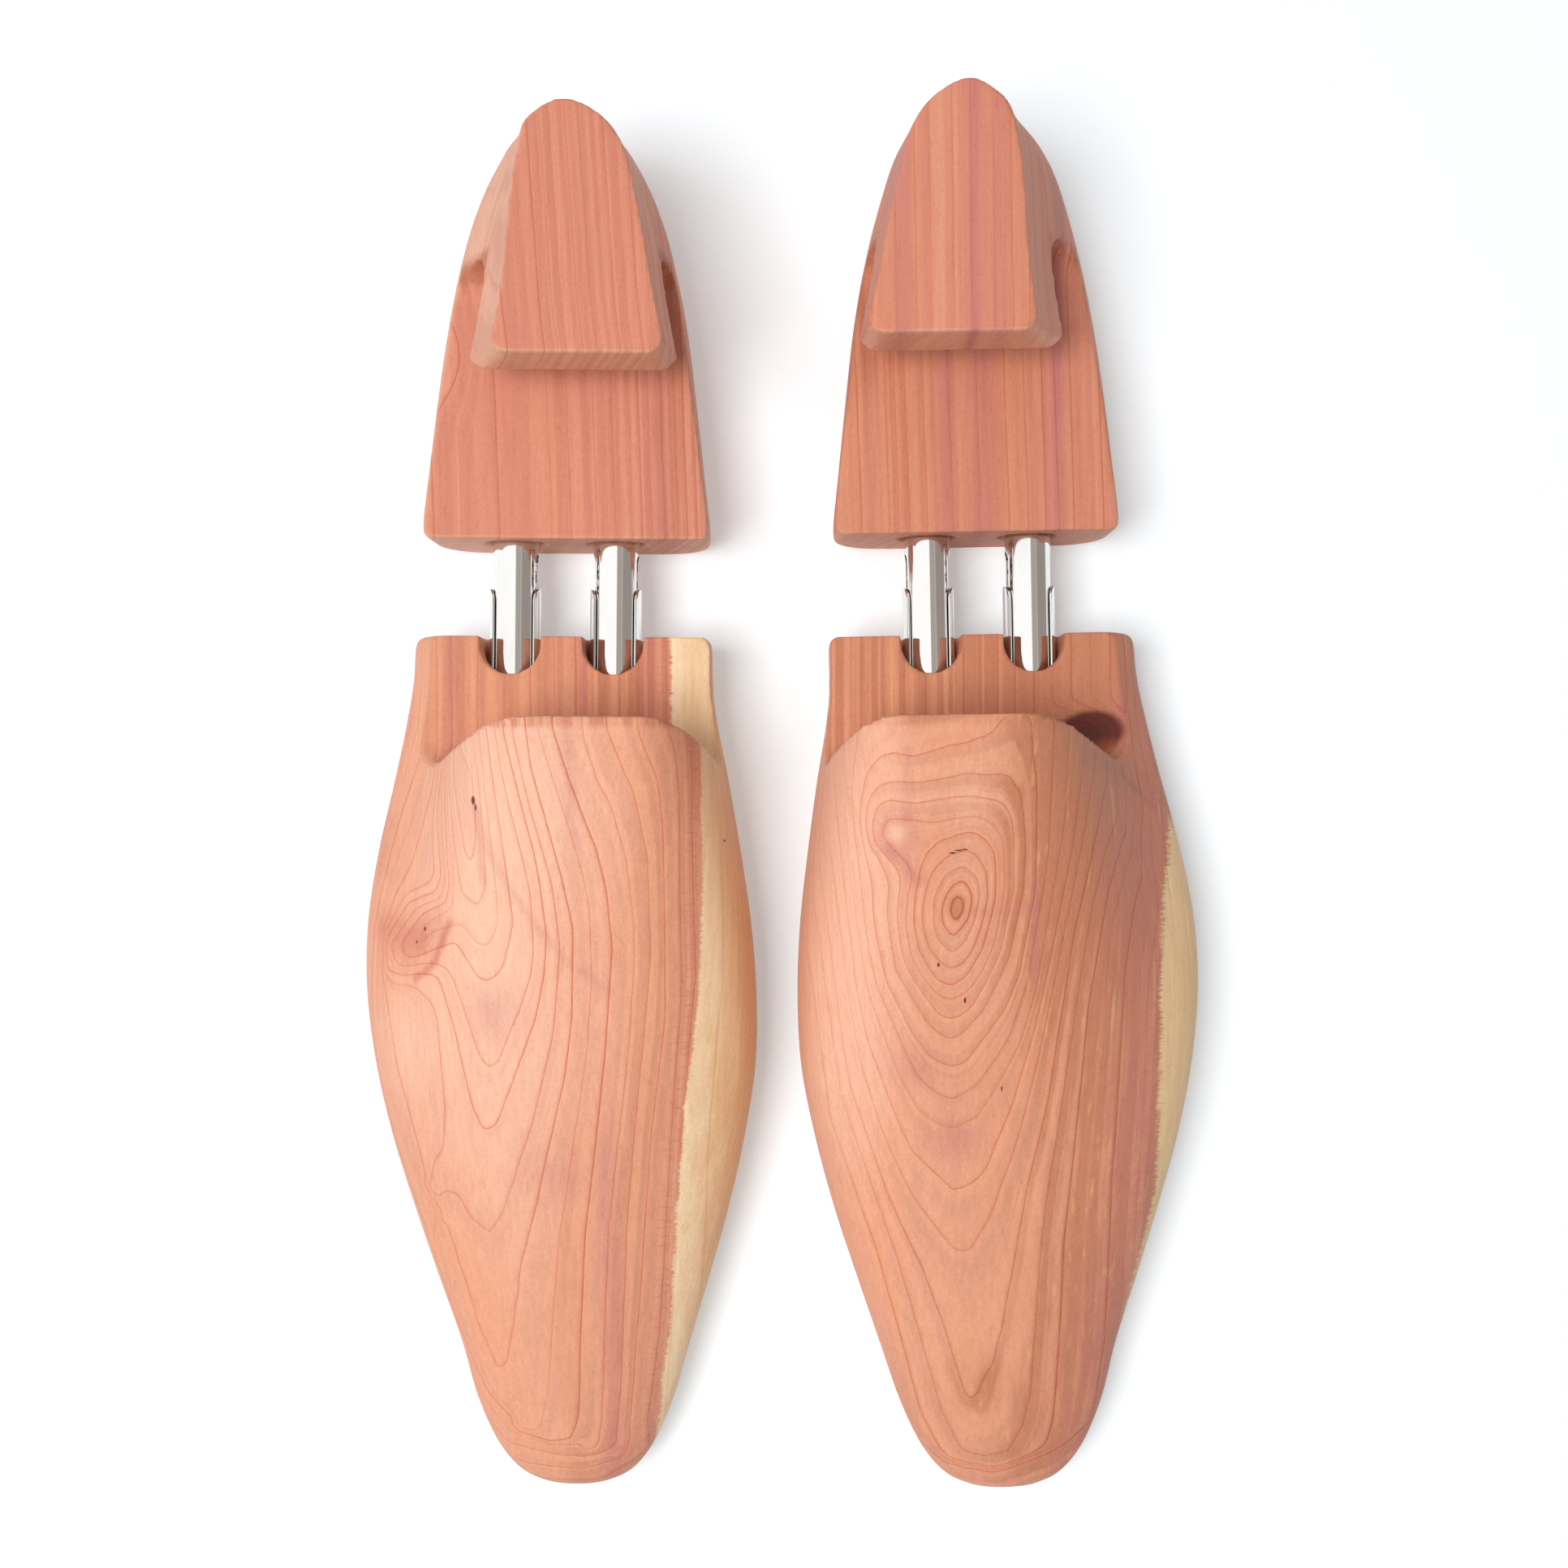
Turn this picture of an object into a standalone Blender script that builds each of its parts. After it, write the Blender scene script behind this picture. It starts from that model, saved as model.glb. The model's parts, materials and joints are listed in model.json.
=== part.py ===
"""A pair of twin-tube cedar shoe trees.

Each tree is a last-shaped forepart and a heel block of cedar, joined by two slotted tubes that slide in
open-topped sleeves against coil springs. A cross pin in the forepart holds the sleeves and runs in the tubes'
slots, so that it is both the tilt pivot and the stop of the slide.

Each tree is drawn in its own frame: y is 0 at the forepart's rear face and grows towards the heel, and z is
0 on the surface that the tree stands on. All lengths are in metres.
"""

import math

import bmesh
import bpy
from mathutils import Matrix, Vector

# The pair
PAIR_SPACING = 0.0879
PAIR_YAW = math.radians(0.75)
FIT_GAP = 0.0003
CUT_OVERRUN = 0.004

# What differs a little between the two hand-finished trees
SIDES = {
    "right": {
        "side": -1, "toe_swing": math.radians(-0.9), "forepart_length": 0.1813, "ball_half_width": 0.0416,
        "heel_gap": 0.0200, "knob_setback": -0.0013, "knob_swing": math.radians(0.0),
    },
    "left": {
        "side": 1, "toe_swing": math.radians(0.9), "forepart_length": 0.1826, "ball_half_width": 0.0428,
        "heel_gap": 0.0210, "knob_setback": 0.0013, "knob_swing": math.radians(2.1),
    },
}

# Forepart
INSTEP_HEIGHT = 0.0585
FOREPART_PLANK_TOP = 0.0570
TONGUE_TOP = 0.0245
LIP_SETBACK = 0.0170
COVE_SETBACK = 0.0265
COVE_RADIUS = 0.0055
SOLE_OVERDEPTH = 0.0015

# Heel block
HEEL_LENGTH = 0.0850
HEEL_HALF_WIDTH = 0.0300
HEEL_HEIGHT = 0.0600
PLATE_TOP = 0.0280
FINGER_SLOT_HEIGHT = 0.0140
FINGER_SLOT_REACH = 0.0565
NOSE_REACH = 0.0328
NOSE_RADIUS = 0.0020
NOSE_CORNER = 0.0030
HEEL_EDGE_RADIUS = 0.0110
HEEL_BACK_RADIUS = 0.0090

# Tubes, sleeves and bores
TUBE_SPACING = 0.0214
TUBE_HEIGHT = 0.0165
TUBE_RADIUS = 0.00485
TUBE_WALL = 0.00050
RUNNING_GAP = 0.00020
SLEEVE_WALL = 0.00045
SLEEVE_REACH = 0.0105
SLEEVE_DEPTH = 0.0500
SLEEVE_LIP_ANGLE = math.radians(37.5)
SLEEVE_CORNER = 0.0024
BORE_RADIUS = 0.00625
NOTCH_DEPTH = 0.0078
TUBE_DEPTH = 0.0340
TUBE_IN_HEEL = 0.0395
BORE_END_GAP = 0.0020
SLIDE_TRAVEL = 0.0180
TILT_RANGE = math.radians(6.0)
TUBE_SLOT_REACH = 0.0180

# Pivot pin, brads and springs
PIVOT_SETBACK = 0.0130
PIN_RADIUS = 0.0016
PIN_MEDIAL_REACH = 0.0280
PIN_LATERAL_REACH = 0.0240
SLOT_GAP = 0.0004
BRAD_INSET = 0.0155
BRAD_RADIUS = 0.0012
BRAD_HEAD_RADIUS = 0.0022
BRAD_HEAD_HEIGHT = 0.0010
BRAD_SINK = 0.0010
BRAD_PAST_AXIS = 0.0030
SPRING_WIRE_RADIUS = 0.0005
SPRING_CURLS = 12
POINTS_PER_CURL = 8

# Facets
ROUND_STEPS = 24
PIN_STEPS = 12
STATIONS_PER_ROW = 2
CROWN_STEPS = 18
SOLE_STEPS = 12
COVE_STEPS = 5
SLOT_END_STEPS = 8
TUBE_SLOT_STEPS = 6
NOSE_STEPS = 3
SLEEVE_ROWS = 5
SMOOTH_ANGLE = math.radians(35)

# Forepart stations, from the rear face to the toe. Along is a share of the forepart's length. Medial,
# lateral and crest place are shares of the half-width at the ball. Side, crest and sole heights are shares of
# the instep height. Round share is how far the outer flank is one round curve and not a cone on a base, and
# the last is the medial flank's power.
FOREPART_SHARES = (
    # along, medial, lateral, crest place, side, crest, sole, round, power
    (0.000, 0.725, 0.725, -0.214, 0.282, 1.030, 0.077, 0.32, 4.2),
    (0.009, 0.748, 0.762, -0.214, 0.282, 1.026, 0.072, 0.32, 4.2),
    (0.050, 0.752, 0.776, -0.214, 0.280, 1.016, 0.060, 0.32, 4.2),
    (0.099, 0.774, 0.814, -0.212, 0.278, 0.992, 0.046, 0.32, 4.1),
    (0.165, 0.829, 0.876, -0.205, 0.278, 0.912, 0.024, 0.38, 3.9),
    (0.248, 0.888, 0.960, -0.190, 0.280, 0.826, 0.004, 0.50, 3.5),
    (0.331, 0.938, 1.017, -0.171, 0.284, 0.757, 0.000, 0.65, 3.2),
    (0.413, 0.962, 1.024, -0.148, 0.284, 0.697, 0.000, 0.80, 3.0),
    (0.496, 0.955, 0.983, -0.119, 0.278, 0.643, 0.000, 0.92, 2.8),
    (0.579, 0.898, 0.907, -0.090, 0.265, 0.586, 0.000, 1.00, 2.7),
    (0.661, 0.817, 0.805, -0.062, 0.250, 0.524, 0.004, 1.00, 2.6),
    (0.744, 0.714, 0.690, -0.043, 0.236, 0.470, 0.016, 1.00, 2.5),
    (0.826, 0.607, 0.572, -0.031, 0.222, 0.414, 0.034, 1.00, 2.4),
    (0.893, 0.519, 0.495, -0.024, 0.212, 0.370, 0.052, 1.00, 2.4),
    (0.948, 0.415, 0.392, -0.018, 0.204, 0.324, 0.072, 1.00, 2.3),
    (0.981, 0.300, 0.275, -0.016, 0.198, 0.284, 0.098, 1.00, 2.2),
    (0.996, 0.165, 0.140, -0.016, 0.194, 0.240, 0.140, 1.00, 2.1),
)
TOE_TIP_SHARES = (-0.016, 0.190)
CONE_POWERS = (4.5, 4.4)
FLANK_POWER = 2.5
SOLE_POWER = 2.6

# Heel block outlines at the plate and at the knob's top, from the front corner to the back point. Along is a
# share of the heel's length from its front face, across a share of its half-width, outwards positive.
PLATE_LATERAL_SHARES = (
    (0.000, 0.900), (0.024, 0.957), (0.182, 0.930), (0.371, 0.878), (0.535, 0.812), (0.676, 0.733),
    (0.794, 0.635), (0.888, 0.505), (0.959, 0.310),
)
PLATE_MEDIAL_SHARES = (
    (0.000, -0.955), (0.024, -1.015), (0.182, -0.968), (0.371, -0.905), (0.535, -0.845), (0.676, -0.768),
    (0.794, -0.675), (0.888, -0.552), (0.959, -0.380),
)
PLATE_BACK_SHARES = (0.994, -0.067)
KNOB_LATERAL_SHARES = (
    (0.000, 0.840), (0.024, 0.870), (0.182, 0.633), (0.371, 0.380), (0.488, 0.292), (0.618, 0.246),
    (0.747, 0.214), (0.841, 0.168), (0.912, 0.100),
)
KNOB_MEDIAL_SHARES = (
    (0.000, -0.940), (0.024, -0.990), (0.182, -0.913), (0.371, -0.800), (0.500, -0.712), (0.629, -0.648),
    (0.747, -0.580), (0.847, -0.505), (0.919, -0.358),
)
KNOB_BACK_SHARES = (0.956, -0.117)

# How far the outline has gone from the plate's to the knob's, by share of the heel's height
KNOB_BLEND_SHARES = (
    (0.000, 0.00), (0.333, 0.00), (0.467, 0.10), (0.533, 0.22), (0.600, 0.36), (0.700, 0.58), (0.800, 0.77),
    (0.900, 0.91), (1.000, 1.00),
)
HEEL_LEVEL_SHARES = (
    0.000, 0.010, 0.035, 0.075, 0.125, 0.190, 0.333, 0.467, 0.533, 0.600, 0.700, 0.800, 0.900, 1.000,
)
NOSE_LEVEL_SHARES = (0.650, 0.700, 0.800, 0.900, 1.000, 1.040)

# Sizes that follow from the ones above
SLEEVE_INNER_RADIUS = TUBE_RADIUS + RUNNING_GAP
SLEEVE_RADIUS = SLEEVE_INNER_RADIUS + SLEEVE_WALL
TUBE_INNER_RADIUS = TUBE_RADIUS - TUBE_WALL
PIN_HOLE_RADIUS = PIN_RADIUS + FIT_GAP
TUBE_SLOT_RADIUS = PIN_RADIUS + SLOT_GAP
SPRING_RADIUS = TUBE_INNER_RADIUS - SPRING_WIRE_RADIUS - SLOT_GAP
BORE_DEPTH = max(SLEEVE_DEPTH, TUBE_DEPTH + SLIDE_TRAVEL) + BORE_END_GAP
PIVOT = Vector((0.0, -PIVOT_SETBACK, TUBE_HEIGHT))
TOE_REACH = max(values["forepart_length"] for values in SIDES.values())
HEEL_REACH = max(values["heel_gap"] for values in SIDES.values()) + HEEL_LENGTH * PLATE_BACK_SHARES[0]
PAIR_SHIFT = (TOE_REACH - HEEL_REACH) / 2


def through_rows(rows, place):
    """A smooth curve through rows of numbers, read at a place counted in rows."""
    last = len(rows) - 1
    index = min(int(place), last - 1)
    t = place - index
    before, start, end, after = (rows[min(max(index + step, 0), last)] for step in (-1, 0, 1, 2))
    result = []
    for a, b, c, d in zip(before, start, end, after):
        bend = (2 * a - 5 * b + 4 * c - d) * t ** 2 + (3 * b - a - 3 * c + d) * t ** 3
        result.append(b + ((c - a) * t + bend) / 2)
    return result


def value_at(rows, key):
    """The second number of a table, at a value of its first."""
    for (low, a), (high, b) in zip(rows, rows[1:]):
        if key <= high:
            return a + (b - a) * (key - low) / (high - low)
    return rows[-1][1]


def make_material(name, colour, roughness, metallic):
    """One Principled material."""
    material = bpy.data.materials.new(name)
    material.use_nodes = True
    shader = material.node_tree.nodes["Principled BSDF"]
    shader.inputs["Base Color"].default_value = (*colour, 1.0)
    shader.inputs["Roughness"].default_value = roughness
    shader.inputs["Metallic"].default_value = metallic
    material.diffuse_color = (*colour, 1.0)
    return material


def mesh_from(name, bm):
    """A mesh with its faces pointing out."""
    bmesh.ops.recalc_face_normals(bm, faces=bm.faces[:])
    mesh = bpy.data.meshes.new(name)
    bm.to_mesh(mesh)
    bm.free()
    return mesh


def place(name, mesh, holder, material=None):
    """An object of the part, hung on the tree's frame or on its pivot."""
    piece = bpy.data.objects.new(name, mesh)
    part_collection.objects.link(piece)
    piece.parent = holder["empty"]
    piece.location = -holder["offset"]
    if material:
        mesh.materials.append(material)
    return piece


def place_cutter(name, mesh, holder):
    """A hidden shape that only cuts."""
    cutter = bpy.data.objects.new(name, mesh)
    cutter_collection.objects.link(cutter)
    cutter.parent = holder["empty"]
    cutter.location = -holder["offset"]
    cutter.hide_render = True
    cutter.display_type = "WIRE"
    return cutter


def cut(piece, cutter):
    """Take a cutter away from a piece."""
    modifier = piece.modifiers.new(cutter.name, "BOOLEAN")
    modifier.operation = "DIFFERENCE"
    modifier.solver = "EXACT"
    modifier.object = cutter


def shade_round(piece):
    """Smooth shading with the sharp edges kept."""
    piece.data.shade_smooth()
    piece.data.set_sharp_from_angle(angle=SMOOTH_ANGLE)


def cylinder_mesh(name, radius, start, end, steps, turn=0.0):
    """A solid rod between two points."""
    start, end = Vector(start), Vector(end)
    run = end - start
    bm = bmesh.new()
    bmesh.ops.create_cone(
        bm, cap_ends=True, segments=steps, radius1=radius, radius2=radius, depth=run.length,
        matrix=Matrix.Rotation(turn, 4, "Z"),
    )
    aim = run.to_track_quat("Z", "Y").to_matrix().to_4x4()
    bmesh.ops.transform(bm, matrix=Matrix.Translation((start + end) / 2) @ aim, verts=bm.verts[:])
    return mesh_from(name, bm)


def prism_mesh(name, outline, side_from, side_to):
    """A side-view outline in y and z, drawn out across x."""
    bm = bmesh.new()
    face = bm.faces.new([bm.verts.new((side_from, y, z)) for y, z in outline])
    drawn = bmesh.ops.extrude_face_region(bm, geom=[face])
    moved = [item for item in drawn["geom"] if isinstance(item, bmesh.types.BMVert)]
    bmesh.ops.translate(bm, verts=moved, vec=(side_to - side_from, 0.0, 0.0))
    return mesh_from(name, bm)


def arc(centre, radius, start, end, steps):
    """Points of a round stretch in y and z, angles in degrees."""
    points = []
    for step in range(steps + 1):
        angle = math.radians(start + (end - start) * step / steps)
        points.append((centre[0] + radius * math.cos(angle), centre[1] + radius * math.sin(angle)))
    return points


def loft_mesh(name, rings, tip=None):
    """A closed skin over rings of points, with a flat start and a flat end or a tip."""
    bm = bmesh.new()
    loops = [[bm.verts.new(point) for point in ring] for ring in rings]
    count = len(loops[0])
    for low, high in zip(loops, loops[1:]):
        for i in range(count):
            j = (i + 1) % count
            bm.faces.new((low[i], low[j], high[j], high[i]))
    bm.faces.new(loops[0])
    if tip is None:
        bm.faces.new(loops[-1])
    else:
        point = bm.verts.new(tip)
        for i in range(count):
            bm.faces.new((loops[-1][i], loops[-1][(i + 1) % count], point))
    return mesh_from(name, bm)


def crown_share(u, round_share, power):
    """Height of the flank from 1 at the crest to 0 at the side, u being 0 to 1."""
    round_part = math.sqrt(max(0.0, 1 - u ** power))
    cone_part = max(0.0, 1 - u ** CONE_POWERS[0]) ** CONE_POWERS[1]
    return round_share * round_part + (1 - round_share) * cone_part


def forepart_ring(row, values):
    """One cross-section of the forepart, from the medial side over the crest and back under the sole."""
    along, medial, lateral, crest_place, side, crest, sole, round_share, power = row
    y = -along * values["forepart_length"]
    swing = -math.tan(values["toe_swing"]) * y
    low_x = -medial * values["ball_half_width"]
    high_x = lateral * values["ball_half_width"]
    crest_x = crest_place * values["ball_half_width"]
    side_z = side * INSTEP_HEIGHT
    crest_z = crest * INSTEP_HEIGHT
    sole_z = max(0.0, sole * INSTEP_HEIGHT)
    points = []
    for step in range(CROWN_STEPS):
        place_across = math.sin(math.pi * (step / CROWN_STEPS - 0.5))
        if place_across < 0:
            x = crest_x + (crest_x - low_x) * place_across
            share = crown_share(-place_across, 1.0, power)
        else:
            x = crest_x + (high_x - crest_x) * place_across
            share = crown_share(place_across, round_share, FLANK_POWER)
        z = min(FOREPART_PLANK_TOP, side_z + (crest_z - side_z) * share)
        points.append((x, z))
    middle = (low_x + high_x) / 2
    for step in range(SOLE_STEPS):
        place_across = math.cos(math.pi * step / SOLE_STEPS)
        x = middle + (high_x - low_x) / 2 * place_across
        drop = max(0.0, 1 - abs(place_across) ** SOLE_POWER) ** (1 / SOLE_POWER)
        z = max(sole_z, side_z - (side_z - sole_z + SOLE_OVERDEPTH * min(1.0, medial)) * drop)
        points.append((x, z))
    return [(values["side"] * (x + swing), y, z) for x, z in points]


def forepart_rings(values):
    """All cross-sections of the forepart, from the rear face to the toe."""
    steps = (len(FOREPART_SHARES) - 1) * STATIONS_PER_ROW
    rows = [through_rows(FOREPART_SHARES, step / STATIONS_PER_ROW) for step in range(steps + 1)]
    return [forepart_ring(row, values) for row in rows]


def forepart_skin(name, values):
    """The whole last-shaped forepart before any cut."""
    length = values["forepart_length"]
    tip_x = TOE_TIP_SHARES[0] * values["ball_half_width"] + math.tan(values["toe_swing"]) * length
    tip = (values["side"] * tip_x, -length, TOE_TIP_SHARES[1] * INSTEP_HEIGHT)
    return loft_mesh(name, forepart_rings(values), tip)


def cove_outline():
    """Side view of what is cleared above the tongue, under the overhanging instep lip."""
    top = FOREPART_PLANK_TOP + CUT_OVERRUN
    lean = (COVE_SETBACK - LIP_SETBACK) / (FOREPART_PLANK_TOP - TONGUE_TOP - COVE_RADIUS)
    floor_centre = (-COVE_SETBACK + COVE_RADIUS, TONGUE_TOP + COVE_RADIUS)
    lean_degrees = math.degrees(math.atan(lean))
    corner = arc(floor_centre, COVE_RADIUS, 270, 180 - lean_degrees, COVE_STEPS)
    y, z = corner[-1]
    outline = [(CUT_OVERRUN, TONGUE_TOP)] + corner
    outline += [(y + (top - z) * lean, top), (CUT_OVERRUN, top)]
    return outline


def make_forepart(tree, values, wood):
    """Forepart: cedar, with tongue, cove, notches, bores and the hole for the pivot pin."""
    name = tree["name"] + "_forepart"
    piece = place(name, forepart_skin(name, values), tree["frame"], wood)
    reach = values["ball_half_width"] + CUT_OVERRUN
    cove = prism_mesh(name + "_cove", cove_outline(), -reach, reach)
    cut(piece, place_cutter(name + "_cove", cove, tree["frame"]))
    for label, x in tree["tubes"].items():
        mouth = Vector((x, CUT_OVERRUN, TUBE_HEIGHT))
        bottom = Vector((x, -BORE_DEPTH, TUBE_HEIGHT))
        for lean in (0.0, TILT_RANGE):
            pivot = Vector((x, PIVOT.y, PIVOT.z))
            turn = Matrix.Rotation(lean, 3, "X")
            ends = [pivot + turn @ (point - pivot) for point in (mouth, bottom)]
            cutter_name = f"{name}_{label}_bore_{round(math.degrees(lean))}"
            bore = cylinder_mesh(cutter_name, BORE_RADIUS, ends[0], ends[1], ROUND_STEPS)
            cut(piece, place_cutter(cutter_name, bore, tree["frame"]))
        notch_name = f"{name}_{label}_notch"
        cut(piece, place_cutter(notch_name, notch_mesh(notch_name, x), tree["frame"]))
    hole_name = name + "_pin_hole"
    side = values["side"]
    hole = cylinder_mesh(
        hole_name, PIN_HOLE_RADIUS, (-side * reach, PIVOT.y, PIVOT.z),
        (side * (PIN_LATERAL_REACH + FIT_GAP), PIVOT.y, PIVOT.z), PIN_STEPS,
    )
    cut(piece, place_cutter(hole_name, hole, tree["frame"]))
    shade_round(piece)


def notch_mesh(name, x):
    """A U notch that opens the bore upwards at the tongue's rear face."""
    straight = NOTCH_DEPTH - BORE_RADIUS
    outline = [(BORE_RADIUS, CUT_OVERRUN), (-BORE_RADIUS, CUT_OVERRUN)]
    for step in range(ROUND_STEPS // 2 + 1):
        angle = math.pi + math.pi * step / (ROUND_STEPS // 2)
        outline.append((BORE_RADIUS * math.cos(angle), -straight + BORE_RADIUS * math.sin(angle)))
    bm = bmesh.new()
    face = bm.faces.new([bm.verts.new((x + px, py, TUBE_HEIGHT)) for px, py in outline])
    drawn = bmesh.ops.extrude_face_region(bm, geom=[face])
    moved = [item for item in drawn["geom"] if isinstance(item, bmesh.types.BMVert)]
    bmesh.ops.translate(bm, verts=moved, vec=(0.0, 0.0, TONGUE_TOP - TUBE_HEIGHT + CUT_OVERRUN))
    return mesh_from(name, bm)


def heel_ring(level_share, values):
    """One level of the heel block, from the outer front corner round the back to the inner one."""
    front = values["heel_gap"]
    z = level_share * HEEL_HEIGHT
    blend = value_at(KNOB_BLEND_SHARES, level_share)
    plate = [*PLATE_LATERAL_SHARES, PLATE_BACK_SHARES, *reversed(PLATE_MEDIAL_SHARES)]
    knob = [*KNOB_LATERAL_SHARES, KNOB_BACK_SHARES, *reversed(KNOB_MEDIAL_SHARES)]
    edge = max(0.0, 1 - z / HEEL_EDGE_RADIUS)
    tuck = 1 - math.sqrt(1 - edge ** 2)
    narrow = 1 - tuck * HEEL_EDGE_RADIUS / HEEL_HALF_WIDTH
    shorten = 1 - tuck * HEEL_BACK_RADIUS / HEEL_LENGTH
    ring = []
    for step in range((len(plate) - 1) * STATIONS_PER_ROW + 1):
        place_in_rows = step / STATIONS_PER_ROW
        plate_along, plate_across = through_rows(plate, place_in_rows)
        knob_along, knob_across = through_rows(knob, place_in_rows)
        setback = values["knob_setback"] * min(1.0, knob_along / KNOB_BACK_SHARES[0])
        swing = math.tan(values["knob_swing"]) * HEEL_LENGTH * max(0.0, KNOB_BACK_SHARES[0] - knob_along)
        y = plate_along * HEEL_LENGTH * (1 - blend) + (knob_along * HEEL_LENGTH + setback) * blend
        x = plate_across * HEEL_HALF_WIDTH * (1 - blend) + (knob_across * HEEL_HALF_WIDTH - swing) * blend
        ring.append((values["side"] * x * narrow, front + max(0.0, y) * shorten, z))
    return ring


def across_at(ring, y):
    """Where the outline of one level passes a given y, on its two sides."""
    crossings = []
    for start, end in zip(ring, ring[1:]):
        if min(start[1], end[1]) <= y < max(start[1], end[1]):
            crossings.append(start[0] + (end[0] - start[0]) * (y - start[1]) / (end[1] - start[1]))
    return crossings


def nose_corner_mesh(name, values, index):
    """A square post along one front corner of the knob, standing on its edge so that it cuts a chamfer."""
    nose = values["heel_gap"] + NOSE_REACH + values["knob_setback"]
    rings = []
    for share in NOSE_LEVEL_SHARES:
        x = across_at(heel_ring(share, values), nose)[index]
        z = share * HEEL_HEIGHT
        rings.append([
            (x + NOSE_CORNER, nose, z), (x, nose + NOSE_CORNER, z), (x - NOSE_CORNER, nose, z),
            (x, nose - NOSE_CORNER, z),
        ])
    return loft_mesh(name, rings)


def finger_slot_outline(values):
    """Side view of what is cleared above the plate and under the knob."""
    front = values["heel_gap"]
    radius = FINGER_SLOT_HEIGHT / 2
    slot_top = PLATE_TOP + FINGER_SLOT_HEIGHT
    nose = front + NOSE_REACH + values["knob_setback"]
    slot_back = front + FINGER_SLOT_REACH + values["knob_setback"]
    top = HEEL_HEIGHT + CUT_OVERRUN
    outline = [(front - CUT_OVERRUN, PLATE_TOP)]
    outline += arc((slot_back - radius, PLATE_TOP + radius), radius, -90, 90, SLOT_END_STEPS)
    outline += reversed(arc((nose + NOSE_RADIUS, slot_top + NOSE_RADIUS), NOSE_RADIUS, 180, 270, NOSE_STEPS))
    outline += [(nose, top), (front - CUT_OVERRUN, top)]
    return outline


def make_heel_block(tree, values, wood):
    """Heel block: cedar, with plate, knob, finger slot, blind bores and brad holes."""
    name = tree["name"] + "_heel_block"
    rings = [heel_ring(share, values) for share in HEEL_LEVEL_SHARES]
    piece = place(name, loft_mesh(name, rings), tree["pivot"], wood)
    reach = HEEL_HALF_WIDTH + CUT_OVERRUN
    slot = prism_mesh(name + "_finger_slot", finger_slot_outline(values), -reach, reach)
    cut(piece, place_cutter(name + "_finger_slot", slot, tree["pivot"]))
    for index, label in enumerate(("lateral", "medial")):
        corner_name = f"{name}_{label}_nose_corner"
        cut(piece, place_cutter(corner_name, nose_corner_mesh(corner_name, values, index), tree["pivot"]))
    front = values["heel_gap"]
    bore_end = front + TUBE_IN_HEEL + BORE_END_GAP
    for label, x in tree["tubes"].items():
        bore_name = f"{name}_{label}_bore"
        bore = cylinder_mesh(
            bore_name, BORE_RADIUS, (x, front - CUT_OVERRUN, TUBE_HEIGHT), (x, bore_end, TUBE_HEIGHT),
            ROUND_STEPS,
        )
        cut(piece, place_cutter(bore_name, bore, tree["pivot"]))
        brad_y = front + BRAD_INSET
        hole_name = f"{name}_{label}_brad_hole"
        hole = cylinder_mesh(
            hole_name, BRAD_RADIUS + FIT_GAP, (x, brad_y, -CUT_OVERRUN), (x, brad_y, TUBE_HEIGHT), PIN_STEPS,
        )
        cut(piece, place_cutter(hole_name, hole, tree["pivot"]))
        sink_name = f"{name}_{label}_brad_sink"
        sink_top = BRAD_SINK + BRAD_HEAD_HEIGHT + FIT_GAP
        sink = cylinder_mesh(
            sink_name, BRAD_HEAD_RADIUS + FIT_GAP, (x, brad_y, -CUT_OVERRUN), (x, brad_y, sink_top),
            PIN_STEPS,
        )
        cut(piece, place_cutter(sink_name, sink, tree["pivot"]))
    shade_round(piece)


def make_tube(tree, values, label, x, steel):
    """Inner tube: slotted on both sides for the pivot pin, and drilled below for its brad."""
    name = f"{tree['name']}_{label}_tube"
    heel_end = values["heel_gap"] + TUBE_IN_HEEL
    half_step = math.pi / ROUND_STEPS
    outer = cylinder_mesh(
        name, TUBE_RADIUS, (x, -TUBE_DEPTH, TUBE_HEIGHT), (x, heel_end, TUBE_HEIGHT), ROUND_STEPS, half_step,
    )
    piece = place(name, outer, tree["pivot"], steel)
    inner = cylinder_mesh(
        name + "_inside", TUBE_INNER_RADIUS, (x, -TUBE_DEPTH - CUT_OVERRUN, TUBE_HEIGHT),
        (x, heel_end + CUT_OVERRUN, TUBE_HEIGHT), ROUND_STEPS, half_step,
    )
    cut(piece, place_cutter(name + "_inside", inner, tree["pivot"]))
    heel_centre = (TUBE_SLOT_REACH - TUBE_SLOT_RADIUS, TUBE_HEIGHT)
    heel_side = arc(heel_centre, TUBE_SLOT_RADIUS, -90, 90, TUBE_SLOT_STEPS)
    toe_side = arc((PIVOT.y, TUBE_HEIGHT), TUBE_SLOT_RADIUS, 90, 270, TUBE_SLOT_STEPS)
    reach = TUBE_RADIUS + RUNNING_GAP
    slot = prism_mesh(name + "_slot", heel_side + toe_side, x - reach, x + reach)
    cut(piece, place_cutter(name + "_slot", slot, tree["pivot"]))
    brad_y = values["heel_gap"] + BRAD_INSET
    hole = cylinder_mesh(
        name + "_brad_hole", BRAD_RADIUS + FIT_GAP, (x, brad_y, 0.0), (x, brad_y, TUBE_HEIGHT), PIN_STEPS,
    )
    cut(piece, place_cutter(name + "_brad_hole", hole, tree["pivot"]))
    shade_round(piece)


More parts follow.
